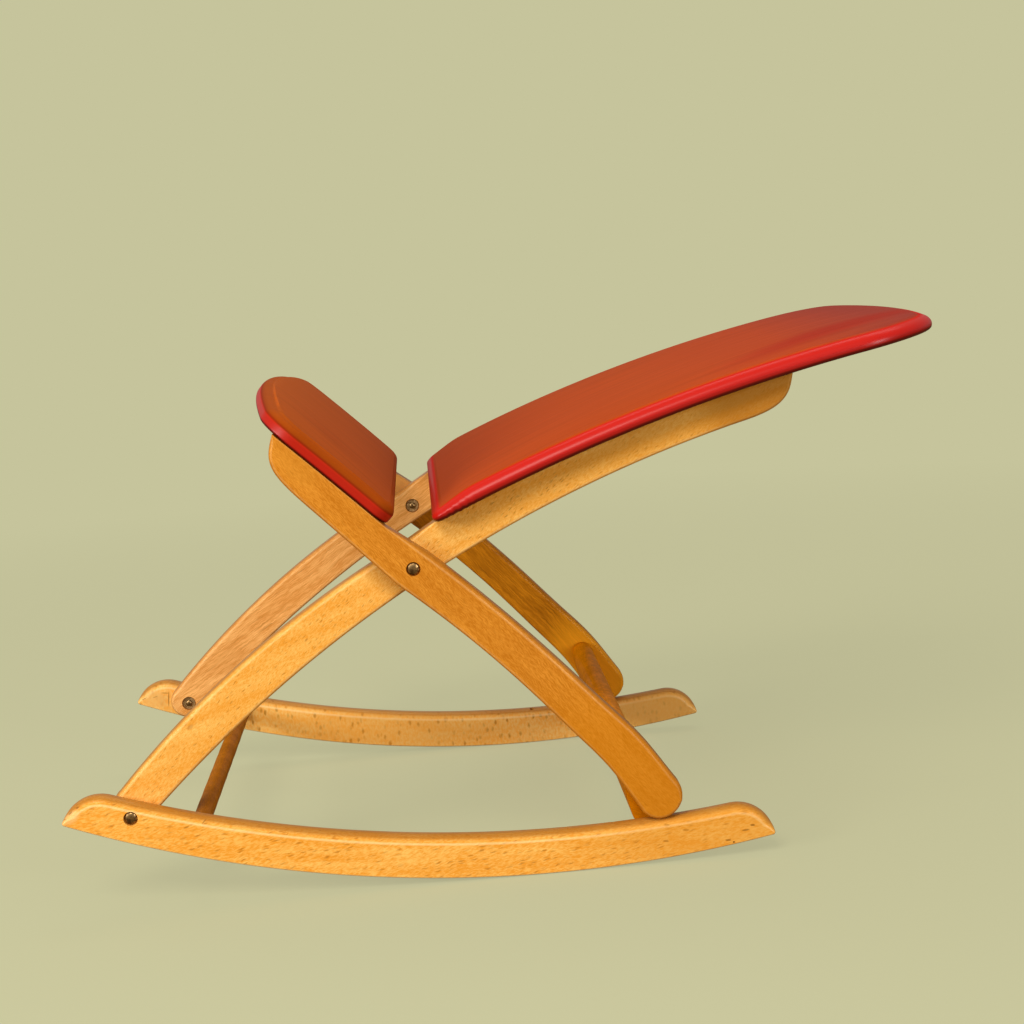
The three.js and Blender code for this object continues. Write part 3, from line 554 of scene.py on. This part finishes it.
def leg_outline(on_leg, rest, seat_radius, span, foot, below, above, radii, reach, head, bend=0):
    """Lower edge, rounded head, seat of the pad, upper edge and round foot. A leg with a bend bows
    further up by that much, 50 mm from its foot."""
    centre, direction, turn_at = rest
    foot_radius, foot_rise = foot
    lower_radius, upper_radius, arm_radius = radii
    head_depth, set_back, head_length, low_share, high_share = head
    top = on_circle(centre, seat_radius, turn_at(reach))
    corner = on_circle(centre, seat_radius - head_depth, turn_at(reach - set_back))
    foot_centre = on_leg(0, foot_rise)
    foot_low, foot_top = on_leg(0, foot_rise - foot_radius), on_leg(0, foot_rise + foot_radius)
    crossing_low = on_leg(span, -below)
    arm_centre = bow_centre(crossing_low, corner, arm_radius)
    shaped_from = angle_from(arm_centre, corner) - direction * head_length / arm_radius
    shaped_at = on_circle(arm_centre, arm_radius, shaped_from)
    foot_turn = angle_from(foot_centre, foot_top)
    points = joined(
        bow(foot_low, crossing_low, lower_radius),
        arc(arm_centre, arm_radius, angle_from(arm_centre, crossing_low), shaped_from),
        bezier(shaped_at, shaped_at.lerp(corner, low_share), top.lerp(corner, high_share), top),
        arc(centre, seat_radius, turn_at(reach), turn_at(0)),
        bow(on_leg(span, above), foot_top, upper_radius),
        arc(foot_centre, foot_radius, foot_turn, foot_turn - direction * math.pi, 2),
    )
    along, upward = on_leg(1, 0) - on_leg(0, 0), on_leg(0, 1) - on_leg(0, 0)
    bend_at, bend_reach = 50, 40
    lifts = [bend * math.exp(-(((point - on_leg(0, 0)).dot(along) - bend_at) / bend_reach) ** 2)
             for point in points]
    return [point + upward * lift for point, lift in zip(points, lifts)]


back_span, back_slope = 325.5, math.radians(43.2)
pilot_radius, pilot_depth = 2.2, 20.6
crossing = on_circle(back_pivot, back_span, back_slope)
on_back_leg = leg_frame(back_pivot, crossing)
back_rest = pad_rest(on_back_leg(364.5, 15.8), on_back_leg(736.5, -117.6), pad_underside_radius["back"])
back_outline = leg_outline(
    on_back_leg, back_rest, pad_underside_radius["back"] - fit, back_span, foot=(17.5, 2.9), below=15.4,
    above=20.2, radii=(1186, 927, 1186), reach=335, head=(29, 9, 48, 0.76, 0.82))


def leg_arris(rest, underside):
    """Rounded all round, more on top, but left nearly square where the pad lies."""
    def arris(point, way):
        spoke = point - rest[0]
        clear = abs(spoke.length - underside) + max(0, 0.99 - way.dot(spoke.normalized()))
        return 1 + (2.4 + 2.6 * max(0, way.y)) * min(1, clear / 2)
    return arris


def pilot_cutters(rest, radius, shares, length, y):
    """Pilot holes of the pad screws, in the top edge of a leg."""
    centre, _, turn_at = rest
    made = []
    for share in shares:
        turn = turn_at(share * length)
        bottom = on_circle(centre, radius - pilot_depth, turn)
        up = (math.cos(turn), math.sin(turn))
        made.append(edge_cutter(bottom, up, pilot_radius, pilot_depth + 1, y))
    return made


pad_lengths = {"back": 485, "seat": 160}
screw_shares = {"back": (0.08, 0.34, 0.6), "seat": (0.2, 0.56)}
# The near back leg's first two marks are painted shadow of the long pad: darker on the head, and in a band
# along the arm below the pad.
leg_near_beech = beech(
    "varnished_beech_slant", "#FBC66C", "#E89A34", "#B06C1C", (7, 1.5), -24, 0.45, 1, 0.3, [
        (285, 430, 160, 110, 25, "#AC6A18", 0.75), (190, 392, 240, 40, 25, "#D08C2E", 0.35),
        (-204, 127, 9, 5, 40, "#B77A34", 0.5), (-8, 256, 4, 2, 0, "#6E4010", 0.7)])
leg_far_beech = beech(
    "varnished_beech_aged", "#FFC074", "#D88E42", "#A0662C", (34, 1.7), 0, 0.35, 1, 0.2, [
        (-204, 100, 60, 40, 40, "#C98640", 0.2)])
back_grain = {"near": math.radians(24), "far": math.radians(38)}
for side, sign in sides:
    leg = saw_board(f"back_leg_{side}_board", back_outline, board_thickness, sign * inner_layer,
                    leg_arris(back_rest, pad_underside_radius["back"] - fit), back_grain[side], planks[side])
    cutters = [cross_cutter(point, inner_bore, sign * inner_layer, sign) for point in (back_pivot, crossing)]
    cutters += pilot_cutters(back_rest, pad_underside_radius["back"], screw_shares["back"],
                             pad_lengths["back"], sign * inner_layer)
    smooth(note_places(drill(leg, cutters), sign * inner_layer))
    leg.data.materials.append(leg_near_beech if side == "near" else leg_far_beech)
    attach(leg, "back_frame")
    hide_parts(f"back_leg_{side}")

# SEAT LEGS
# Two shorter legs in line with the rockers, with round feet that stand on them. They come from a
# redder plank than the rockers, with faint flame figure.
foot_radius = 20.6
foot_angle = seat_foot_from_middle / rocker_top_radius - math.pi / 2
seat_foot = on_circle(rocker_top_centre, rocker_top_radius - foot_radius - fit, foot_angle)
on_seat_leg = leg_frame(seat_foot, crossing)
seat_rest = pad_rest(on_seat_leg(337, 10.4), on_seat_leg(464.6, 2.2), pad_underside_radius["seat"])
seat_outline = leg_outline(
    on_seat_leg, seat_rest, pad_underside_radius["seat"] - fit, (crossing - seat_foot).length,
    foot=(foot_radius, 0), below=19.5, above=18.6, radii=(1000, 1400, 9000), reach=123,
    head=(27.5, 11, 60, 0.85, 0.95), bend=3)
seat_near_beech = beech(
    "varnished_beech_amber", "#E09332", "#BC7018", "#9C5C0E", (12, 1.4), 4, 0.3, 1, 0.15, [
        (190, 90, 300, 260, 0, "#C87806", 0.5), (-115, 360, 60, 30, -45, "#C98428", 0.35),
        (-203, 385, 18, 60, 15, "#FFC070", 0.5)])
# The far seat leg's second mark is painted light: a paler patch where the seat pad starts, over a place in
# shade.
seat_far_beech = beech(
    "varnished_beech_amber_striped", "#D88818", "#A8640C", "#7E4A08", (44, 2.2), 0, 0.4, 0.5, 0, [
        (195, 95, 170, 130, -50, "#F6A41E", 0.6), (-40, 300, 120, 80, -45, "#F0B060", 0.75)])
for side, sign in sides:
    leg = saw_board(f"seat_leg_{side}_board", seat_outline, board_thickness, sign * outer_layer,
                    leg_arris(seat_rest, pad_underside_radius["seat"] - fit), math.radians(-44), planks[side])
    cutters = [cross_cutter(crossing, outer_bore, sign * outer_layer, sign)]
    cutters += pilot_cutters(seat_rest, pad_underside_radius["seat"], screw_shares["seat"],
                             pad_lengths["seat"], sign * outer_layer)
    smooth(note_places(drill(leg, cutters), sign * outer_layer))
    leg.data.materials.append(seat_near_beech if side == "near" else seat_far_beech)
    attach(leg, "seat_frame")
    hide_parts(f"seat_leg_{side}")

# SEAT RAIL
# A flat beech rail with fully rounded long edges, tenoned between the seat legs above their feet. It
# keeps them parallel and is what a hand takes to fold the chair.
rail_thickness, rail_depth, rail_slope = 22, 80, math.radians(72)
rail_centre = on_seat_leg(44, 7.8)
rail_way = Vector((math.cos(rail_slope), -math.sin(rail_slope)))
rail_low = rail_centre + rail_way * (rail_depth - rail_thickness)
rail_outline = joined(
    arc(rail_centre, rail_thickness / 2, math.pi / 2 - rail_slope, 3 * math.pi / 2 - rail_slope, 1.5),
    arc(rail_low, rail_thickness / 2, -math.pi / 2 - rail_slope, math.pi / 2 - rail_slope, 1.5),
)
rail = saw_board("seat_rail_board", rail_outline, 2 * shoulder, 0, lambda point, way: 0.5, rail_slope,
                 (3.3, 0.2, 0.6), 2)
smooth(rail)
rail_beech = beech("varnished_beech_rail", "#E48806", "#C07004", "#7A4606", (1.2, 16), 0, 0.2, 0.03)
rail.data.materials.append(rail_beech)
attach(rail, "seat_frame")
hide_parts("seat_rail")

# RIVETS
# Solid brass rivets with domed heads, sunk in the outer boards. Inside, each is peened over a burr, a
# loose brass washer, in its own recess, and a thin spacer washer keeps the boards apart.
head_radius, head_height = 5.6, 2.1
closed_radius, closed_height = 3.5, 1.7
burr_radius, burr_thickness = 6.6, 1.2
spacer_radius, spacer_thickness = 9, 0.8
stack = 2 * board_thickness + board_gap
head_seat = head_recess_depth - fit
burr_seat = stack - burr_recess_depth + fit
closed_seat = burr_seat + burr_thickness + fit


def aged_brass(name, bright, brown, roughness):
    """Brass that was cast or turned bright and went brown in air and hands: a warm metal whose
    tarnish is patchy and rougher than what is left of the polish."""
    material, tree = blank_material(name)
    place = add(tree, "ShaderNodeTexCoord").outputs["Object"]
    patches = add(tree, "ShaderNodeTexNoise", {"Vector": place, "Scale": 420, "Detail": 4})
    tarnish = add(tree, "ShaderNodeValToRGB", {0: patches.outputs[0]}, [(0.38, black), (0.62, white)])
    metal = add(tree, "ShaderNodeMix", {
        0: tarnish.outputs[0], 6: tone(bright), 7: tone(brown)}, data_type="RGBA")
    rough = add(tree, "ShaderNodeMapRange", {
        "Value": tarnish.outputs[0], "To Min": roughness - 0.1, "To Max": roughness + 0.12})
    marks = add(tree, "ShaderNodeTexNoise", {"Vector": place, "Scale": 1600, "Detail": 2})
    relief = add(tree, "ShaderNodeBump", {
        "Height": marks.outputs[0], "Strength": 0.2, "Distance": 0.06 * mm})
    shader = add(tree, "ShaderNodeBsdfPrincipled", {
        "Base Color": metal.outputs[2], "Metallic": 1, "Roughness": rough.outputs[0],
        "Normal": relief.outputs[0]})
    add(tree, "ShaderNodeOutputMaterial", {0: shader.outputs[0]})
    return material


rivet_brass = aged_brass("aged_brass_dark", "#A88658", "#5E4428", 0.42)
washer_brass = aged_brass("aged_brass_worn", "#DCBC8C", "#9A7648", 0.52)


def dome(radius, height, seat, direction, steps=9):
    points = []
    for step in range(steps + 1):
        turn = math.pi / 2 * step / steps
        points.append((radius * math.sin(turn), seat + direction * height * math.cos(turn)))
    return points if direction < 0 else points[::-1]


def washer(radius, bore, seat, thickness, dish=0, edge=0.2, lip=1.3, slant=0.3):
    top = seat + thickness
    return [(bore, seat), (radius - edge, seat), (radius, seat + edge), (radius, top - edge),
            (radius - edge, top), (radius - lip, top), (radius - lip - slant, top - dish),
            (bore, top - dish)]


peened = dome(closed_radius, closed_height, closed_seat, 1)
rivet_profile = (dome(head_radius, head_height, head_seat, -1) + [(shank_radius, head_seat),
                 (shank_radius, closed_seat)] + peened)
hardware = [
    ("rivet", rivet_profile, False, rivet_brass),
    ("burr", washer(burr_radius, shank_radius + fit, burr_seat, burr_thickness, 0.8), True, washer_brass),
    ("spacer", washer(spacer_radius, shank_radius + fit, board_thickness + fit, spacer_thickness), True,
     washer_brass),
]
for joint, point, body in (("back_pivot", back_pivot, "base"), ("crossing", crossing, "seat_frame")):
    for side, sign in sides:
        for part, profile, ring, brass in hardware:
            piece = lathe(f"{joint}_{part}_{side}_turned", profile, 48, ring)
            piece.matrix_world = (
                Matrix.Translation(stand(point.x, sign * chair_half_width, point.y))
                @ Matrix.Rotation(rest_lean, 4, "Y") @ Matrix.Rotation(0 if sign < 0 else math.pi, 4, "X")
            )
            smooth(piece)
            piece.data.materials.append(brass)
            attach(piece, body)
            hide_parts(f"{joint}_{part}_{side}")

# PADS
# Each pad is a bent plywood board under a thin layer of wadding, with red vinyl drawn tight over both,
# turned under and stapled. The vinyl has a full round roll along its edges.
pad_plans = {
    "back": {"rest": back_rest, "bulge": 24, "inner_corner": 12, "outer_corner": 65, "crown": 5,
             "edge_height": 14.5, "roll": (12, 9.5, 4), "band": 0.22, "thinned": 5, "gathers": 0.4},
    "seat": {"rest": seat_rest, "bulge": 26, "inner_corner": 18, "outer_corner": 28, "crown": 4,
             "edge_height": 16.2, "roll": (9, 9, 3), "band": 0.85, "thinned": 0, "gathers": 0},
}
hem_width, hem_thickness = 23, 0.8
board_bottom, board_top, board_inset = 0.9, 6.9, 2.5


def corner_draw(corner, half_width, across):
    into = abs(across) - (half_width - corner)
    return corner - math.sqrt(max(0, corner ** 2 - into ** 2)) if into > 0 else 0


def pad_lines(kind, inset, steps, rows=20):
    """Points of a pad in plan, drawn in by inset all round, as lines from its lower to its free end.
    steps are shares of the way along."""
    plan, length = pad_plans[kind], pad_lengths[kind]
    half = chair_half_width - inset
    outer, inner = max(plan["outer_corner"] - inset, 0.3), max(plan["inner_corner"] - inset, 0.3)
    flat = half - outer
    offsets = [flat * i / rows for i in range(rows)]
    offsets += [flat + outer * math.sin(math.pi / 2 * i / 14) for i in range(15)]
    offsets = [-a for a in reversed(offsets[1:])] + offsets
    lines = []
    for across in offsets:
        start = inset + corner_draw(inner, half, across)
        end = length - inset - plan["bulge"] * (across / half) ** 2 - corner_draw(outer, half, across)
        lines.append([(start + (end - start) * share, across) for share in steps])
    return lines


def rim(lines):
    inner_end = [line[0] for line in lines[1:-1]]
    outer_end = [line[-1] for line in lines[1:-1]]
    return lines[0] + outer_end + lines[-1][::-1] + inner_end[::-1]


def ease(share):
    share = min(1, max(0, share))
    return share * share * (3 - 2 * share)


def pad_edge(kind, along):
    """Height of the vinyl's edge: the long pad is drawn down thinner at its lower end."""
    plan = pad_plans[kind]
    return plan["edge_height"] - plan["thinned"] * (1 - ease(along / 45))


def pad_top(kind, along, across):
    run, share = 2 * along / pad_lengths[kind] - 1, across / chair_half_width
    return pad_edge(kind, along) + pad_plans[kind]["crown"] * (1 - run ** 4) * (1 - share ** 4)


def gather(kind, along, across):
    """Gathers of the vinyl along both sides near the lower end, where it is pulled round the corner."""
    near = math.exp(-((along - 24) / 17) ** 2) * ease((abs(across) - chair_half_width + 14) / 10)
    return pad_plans[kind]["gathers"] * near * math.sin(along * 0.95 + 0.3 * math.sin(along * 0.4))


def bent(kind, along, across, height):
    centre, _, turn_at = pad_plans[kind]["rest"]
    point = on_circle(centre, pad_underside_radius[kind] + height, turn_at(along))
    return stand(point.x, across, point.y)


def pad_mesh(name, kind, sections, steps, inner_height):
    """A closed pad from its section, as (inset, height at a place along, roll) from the top's rim round
    to the inner ceiling. roll is 0 on top, 1 down the side and 2 underneath."""
    bm = bmesh.new()
    place = bm.verts.layers.float_vector.new("place")
    roll = bm.verts.layers.float.new("roll")

    def vertex(along, across, height, share):
        lifted = height + gather(kind, along, across) * ease(share) * (1 if share < 1.9 else 0)
        made = bm.verts.new(bent(kind, along, across, lifted))
        made[place] = (along * mm, across * mm, height * mm)
        made[roll] = share
        return made

    def grid(inset, level, share):
        return [[vertex(a, c, level(a, c), share) for a, c in line] for line in pad_lines(kind, inset, steps)]

    def fill(grid_rows):
        for low, high in zip(grid_rows, grid_rows[1:]):
            for i in range(len(low) - 1):
                bm.faces.new((low[i], low[i + 1], high[i + 1], high[i]))

    top = grid(sections[0][0], lambda a, c: pad_top(kind, a, c), 0)
    fill(top)
    loops = [rim(top)]
    for inset, level, share in sections[1:]:
        loops.append([vertex(a, c, level(a), share) for a, c in rim(pad_lines(kind, inset, steps))])
    ceiling = grid(sections[-1][0], lambda a, c: inner_height, 2)
    fill(ceiling)
    loops.append(rim(ceiling))
    for low, high in zip(loops, loops[1:]):
        for i in range(len(low)):
            bm.faces.new((low[i - 1], low[i], high[i], high[i - 1]))
    return new_object(name, bm)


def roll_section(kind):
    """Section of the cover, from the top's rim over the wide roll, and under the board to the hem."""
    edge_height = pad_plans[kind]["edge_height"]
    width, upper, lower = pad_plans[kind]["roll"]
    section = [(width, None, 0)]
    for step in range(1, 13):
        turn = math.pi / 2 * step / 12
        drop = upper * (1 - math.cos(turn))
        section.append((
            width * (1 - math.sin(turn)),
            lambda a, d=drop: pad_edge(kind, a) - d * (pad_edge(kind, a) - lower) / (edge_height - lower),
            step / 12))
    for step in range(7):
        turn = math.pi / 2 * step / 6
        rise = lower * (1 - math.sin(turn))
        section.append((0.1 + lower * (1 - math.cos(turn)), lambda a, r=rise: r, 1 + step / 6))
    section.append((hem_width - 0.4, lambda a: 0, 2))
    section.append((hem_width, lambda a: hem_thickness, 2))
    section.append((board_inset, lambda a: hem_thickness, 2))
    return section


def upholstery_vinyl(name, kind, top_fade_and_sheen, edge, patches):
    """Plasticised PVC on a cloth back, calendered smooth and drawn tight: an even red skin with a half-gloss.
    Hands and sun have made its top matt and faded it towards orange, with faint streaks along the pull; part
    of that orange is painted reflection of the pale surroundings. The rolled edge keeps the first red and its
    shine, and its colour darkens as painted shade where it turns under. The third argument gives the top's
    colour along the pad, with painted sheen towards the free end, edge the colour round its rim, and patches
    are (along, across, length, width, turn, colour, strength)."""
    material, tree = blank_material(name)
    place = add(tree, "ShaderNodeAttribute", attribute_name="place").outputs["Vector"]
    roll = add(tree, "ShaderNodeAttribute", attribute_name="roll").outputs["Fac"]
    along = add(tree, "ShaderNodeSeparateXYZ", {0: place})
    run = add(tree, "ShaderNodeMath", {
        0: along.outputs[0], 1: 1 / (pad_lengths[kind] * mm)}, operation="MULTIPLY")
    top = add(tree, "ShaderNodeValToRGB", {0: run.outputs[0]}, [(at, tone(code)) for at, code in top_fade_and_sheen])
    top = top.outputs[0]
    for x, y, length, width, turn, code, strength in patches:
        top = wear_and_painted_light_place(tree, top, place, (x, y, 0), (length / 2, width / 2, 1000), (0, 0, turn), 0.2,
                         code, strength)
    pulled = add(tree, "ShaderNodeMapping", {
        "Vector": place, "Rotation": (0, 0, math.radians(9)), "Scale": (150 * mm, 9 * mm, 1)},
        vector_type="TEXTURE")
    streak = add(tree, "ShaderNodeTexNoise", {
        "Vector": pulled.outputs[0], "Scale": 1, "Detail": 3, "Roughness": 0.55})
    streaks = add(tree, "ShaderNodeMapRange", {
        "Value": streak.outputs[0], "From Min": 0.3, "From Max": 0.7, "To Min": 0.9, "To Max": 1.08})
    top = add(tree, "ShaderNodeVectorMath", {0: top, "Scale": streaks.outputs[0]}, operation="SCALE")
    round_edge = add(tree, "ShaderNodeMath", {0: roll, 1: 0.5}, operation="MULTIPLY")
    rim_colour = add(tree, "ShaderNodeValToRGB", {0: round_edge.outputs[0]}, [
        (at, tone(code)) for at, code in edge])
    kept = add(tree, "ShaderNodeMapRange", {
        "Value": round_edge.outputs[0], "From Min": edge[0][0], "From Max": edge[1][0]})
    skin = add(tree, "ShaderNodeMix", {
        0: kept.outputs[0], 6: top.outputs[0], 7: rim_colour.outputs[0]}, data_type="RGBA")
    pores = add(tree, "ShaderNodeTexNoise", {"Vector": place, "Scale": 900, "Detail": 2})
    pull = add(tree, "ShaderNodeMath", {
        0: streak.outputs[0], 1: 2, 2: pores.outputs[0]}, operation="MULTIPLY_ADD")
    relief = add(tree, "ShaderNodeBump", {
        "Height": pull.outputs[0], "Strength": 0.1, "Distance": 0.2 * mm})
    band = pad_plans[kind]["band"]
    coat = add(tree, "ShaderNodeMapRange", {
        "Value": roll, "From Min": band, "From Max": band + 0.15, "To Max": 0.5})
    shader = add(tree, "ShaderNodeBsdfPrincipled", {
        "Base Color": skin.outputs[2], "Roughness": 0.6, "IOR": 1.53, "Specular IOR Level": 0.03,
        "Specular Tint": tone("#FF9478"), "Coat Weight": coat.outputs[0], "Coat Roughness": 0.3,
        "Coat Tint": tone("#FFD8D0"), "Normal": relief.outputs[0]})
    add(tree, "ShaderNodeOutputMaterial", {0: shader.outputs[0]})
    return material


def birch_plywood(name):
    """Raw rotary-cut veneer, sanded: pale and matt, with broad wandering figure along the pad."""
    material, tree = blank_material(name)
    place = add(tree, "ShaderNodeAttribute", attribute_name="place").outputs["Vector"]
    scaled = add(tree, "ShaderNodeVectorMath", {
        0: place, 1: (1 / (200 * mm), 1 / (9 * mm), 1 / (1.2 * mm))}, operation="MULTIPLY")
    figure = add(tree, "ShaderNodeTexNoise", {
        "Vector": scaled.outputs[0], "Scale": 1, "Detail": 4, "Distortion": 0.5})
    colour = add(tree, "ShaderNodeValToRGB", {0: figure.outputs[0]}, [
        (0.35, tone("#D9B988")), (0.65, tone("#B98F58"))])
    relief = add(tree, "ShaderNodeBump", {
        "Height": figure.outputs[0], "Strength": 0.15, "Distance": 0.2 * mm})
    shader = add(tree, "ShaderNodeBsdfPrincipled", {
        "Base Color": colour.outputs[0], "Roughness": 0.7, "IOR": 1.5, "Normal": relief.outputs[0]})
    add(tree, "ShaderNodeOutputMaterial", {0: shader.outputs[0]})
    return material


vinyl = {
    # Long pad: the pinker, darker top at the free end and the two patches there, a deeper red streak and a
    # pinker corner, are painted reflections; the rim's last, near-black red is painted shade under the roll.
    "back": upholstery_vinyl("red_vinyl_long", "back", [
        (0, "#AC4210"), (0.45, "#B44614"), (0.72, "#B4421A"), (0.93, "#9C3A2C")], [
        (0, "#B03A0E"), (0.09, "#C82010"), (0.44, "#B41810"), (0.62, "#5C0804")], [
        (400, -128, 320, 100, 22, "#A82410", 0.75), (430, -225, 120, 90, 20, "#98342C", 0.6)]),
    # Short pad: the rim colours are painted shade, a little darker from the top into the crease, then a dark
    # line before the red roll, and near-black red where the roll turns under.
    "seat": upholstery_vinyl("red_vinyl_short", "seat", [
        (0, "#AA4808"), (0.5, "#B24E0C"), (1, "#B85614")], [
        (0.02, "#A0440C"), (0.34, "#96400C"), (0.41, "#84260A"), (0.46, "#B4260E"),
        (0.56, "#A4140C"), (0.68, "#5C0804")], [
        (60, -120, 160, 90, 0, "#A84606", 0.5)]),
}
plywood = birch_plywood("birch_plywood")
for kind, body in (("back", "back_frame"), ("seat", "seat_frame")):
    length = pad_lengths[kind]
    near_steps = [1.5 * i / length for i in range(40)]
    count = math.ceil((1 - near_steps[-1]) * length / 6)
    steps = near_steps + [near_steps[-1] + (1 - near_steps[-1]) * i / count for i in range(1, count + 1)]
    cover = pad_mesh(f"{kind}_pad_vinyl", kind, roll_section(kind), steps, board_top + 0.1)
    smooth(cover, 50)
    cover.data.materials.append(vinyl[kind])
    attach(cover, body)
    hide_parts(f"{kind}_cover", f"{kind}_wadding")

    board_lines = pad_lines(kind, board_inset + 0.2, [i / 40 for i in range(41)], 8)
    bm = bmesh.new()
    place = bm.verts.layers.float_vector.new("place")
    levels = []
    for height in (board_bottom, board_top - 0.1):
        level = []
        for line in board_lines:
            row = []
            for along, across in line:
                made = bm.verts.new(bent(kind, along, across, height))
                made[place] = (along * mm, across * mm, height * mm)
                row.append(made)
            level.append(row)
        for low, high in zip(level, level[1:]):
            for i in range(len(low) - 1):
                bm.faces.new((low[i], low[i + 1], high[i + 1], high[i]))
        levels.append(level)
    low, high = rim(levels[0]), rim(levels[1])
    for i in range(len(low)):
        bm.faces.new((low[i - 1], low[i], high[i], high[i - 1]))
    board = new_object(f"{kind}_pad_plywood", bm)
    smooth(board)
    board.data.materials.append(plywood)
    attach(board, body)
    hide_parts(f"{kind}_board")

# SCREWS
# Countersunk steel screws that hold each plywood board down on its legs, hidden under the wadding.
material, tree = blank_material("zinc_plated_steel")
place = add(tree, "ShaderNodeTexCoord").outputs["Object"]
haze = add(tree, "ShaderNodeTexNoise", {"Vector": place, "Scale": 300, "Detail": 3})
colour = add(tree, "ShaderNodeValToRGB", {0: haze.outputs[0]}, [
    (0.35, tone("#B9B9B4")), (0.65, tone("#8A8A86"))])
shader = add(tree, "ShaderNodeBsdfPrincipled", {
    "Base Color": colour.outputs[0], "Metallic": 1, "Roughness": 0.35})
add(tree, "ShaderNodeOutputMaterial", {0: shader.outputs[0]})
for kind, count in (("back", 6), ("seat", 4)):
    for number in range(1, count + 1):
        node = frame["nodes"][f"{kind}_screw_{number}"]
        node.data.materials.clear()
        node.data.materials.append(material)

# STUDIO
# A plain pale sage floor that runs into a background of the same colour, and soft lamps at a plain
# level: a wide key above the camera on the left, a window and a doorway lower down, and a weak strip.
backdrop = "#C6C49C"
material, tree = blank_material("pale_floor")
place = add(tree, "ShaderNodeTexCoord").outputs["Object"]
distance = add(tree, "ShaderNodeVectorMath", {0: place}, operation="LENGTH")
away = add(tree, "ShaderNodeMapRange", {
    "Value": distance.outputs["Value"], "From Min": 0.5, "From Max": 2.5, "To Min": 0.72})
paint = add(tree, "ShaderNodeBsdfDiffuse", {"Color": tone(backdrop)})
dull = add(tree, "ShaderNodeBsdfDiffuse", {"Color": tone("#8A7C58")})
rays = add(tree, "ShaderNodeLightPath")
glow = add(tree, "ShaderNodeEmission", {"Color": tone(backdrop), "Strength": 1})
plain = add(tree, "ShaderNodeMixShader", {0: away.outputs[0], 1: paint.outputs[0], 2: glow.outputs[0]})
floor_mix = add(tree, "ShaderNodeMixShader", {
    0: rays.outputs["Is Camera Ray"], 1: dull.outputs[0], 2: plain.outputs[0]})
add(tree, "ShaderNodeOutputMaterial", {0: floor_mix.outputs[0]})
bm = bmesh.new()
bmesh.ops.create_circle(bm, cap_ends=True, radius=60, segments=64)
floor = new_object("floor", bm)
floor.location.z = cad_box[0].z - 0.0005
floor.data.materials.append(material)

world = bpy.data.worlds.new("studio")
scene.world = world
world.use_nodes = True
tree = world.node_tree
tree.nodes.clear()
rays = add(tree, "ShaderNodeLightPath")
seen = add(tree, "ShaderNodeBackground", {"Color": tone(backdrop), "Strength": 1})
light = add(tree, "ShaderNodeBackground", {"Color": tone("#F4F2EA"), "Strength": 0.42})
both = add(tree, "ShaderNodeMixShader", {
    0: rays.outputs["Is Camera Ray"], 1: light.outputs[0], 2: seen.outputs[0]})
add(tree, "ShaderNodeOutputWorld", {0: both.outputs[0]})


def lamp(name, place, target, size, watts, colour):
    data = bpy.data.lights.new(name, "AREA")
    data.shape, data.size, data.size_y = "RECTANGLE", *size
    data.energy = watts
    data.color = tone(colour)[:3]
    made = bpy.data.objects.new(name, data)
    made.location = place
    made.rotation_mode = "QUATERNION"
    made.rotation_quaternion = (Vector(target) - Vector(place)).to_track_quat("-Z", "Y")
    scene.collection.objects.link(made)


lamp("key", (-1.0, -2.1, 2.4), (0, 0, 0.2), (1.6, 1.2), 56, "#FFF8EE")
lamp("window", (-2.4, -1.6, 1.1), (0, 0, 0.2), (1.3, 0.7), 40, "#FFFFFF")
lamp("doorway", (1.7, -2.3, 0.8), (0.1, 0, 0.1), (0.6, 1.2), 26, "#FFFFFF")
lamp("top strip", (0.3, 0.6, 1.9), (0, 0, 0.3), (1.8, 0.5), 5, "#FFFFFF")

# CAMERA
# The photograph's own view: a little above the pads, almost square to the side, from the near side.
# It is rolled 4 degrees, since the picture shows less lean than the chair takes by its weight.
camera_data = bpy.data.cameras.new("camera")
camera = bpy.data.objects.new("camera", camera_data)
scene.collection.objects.link(camera)
scene.camera = camera
camera_data.sensor_width = 36
camera_data.lens = 59.77
camera_data.clip_end = 100
right = Vector((0.9977, -0.0600, 0.0320))
up = Vector((-0.0232, 0.1411, 0.9897))
axes = Matrix((right, up, right.cross(up))).transposed()
tip_x, tip_height = -310, 46.26
beside_tip, from_near_face, over_tip = 285.9, 1425.6, 479.7
spot = stand(tip_x + beside_tip, -chair_half_width - from_near_face, tip_height + over_tip)
camera.matrix_world = (
    Matrix.Translation(spot) @ (Matrix.Rotation(rest_lean, 3, "Y") @ axes).to_4x4()
)

scene.view_settings.view_transform = "Standard"
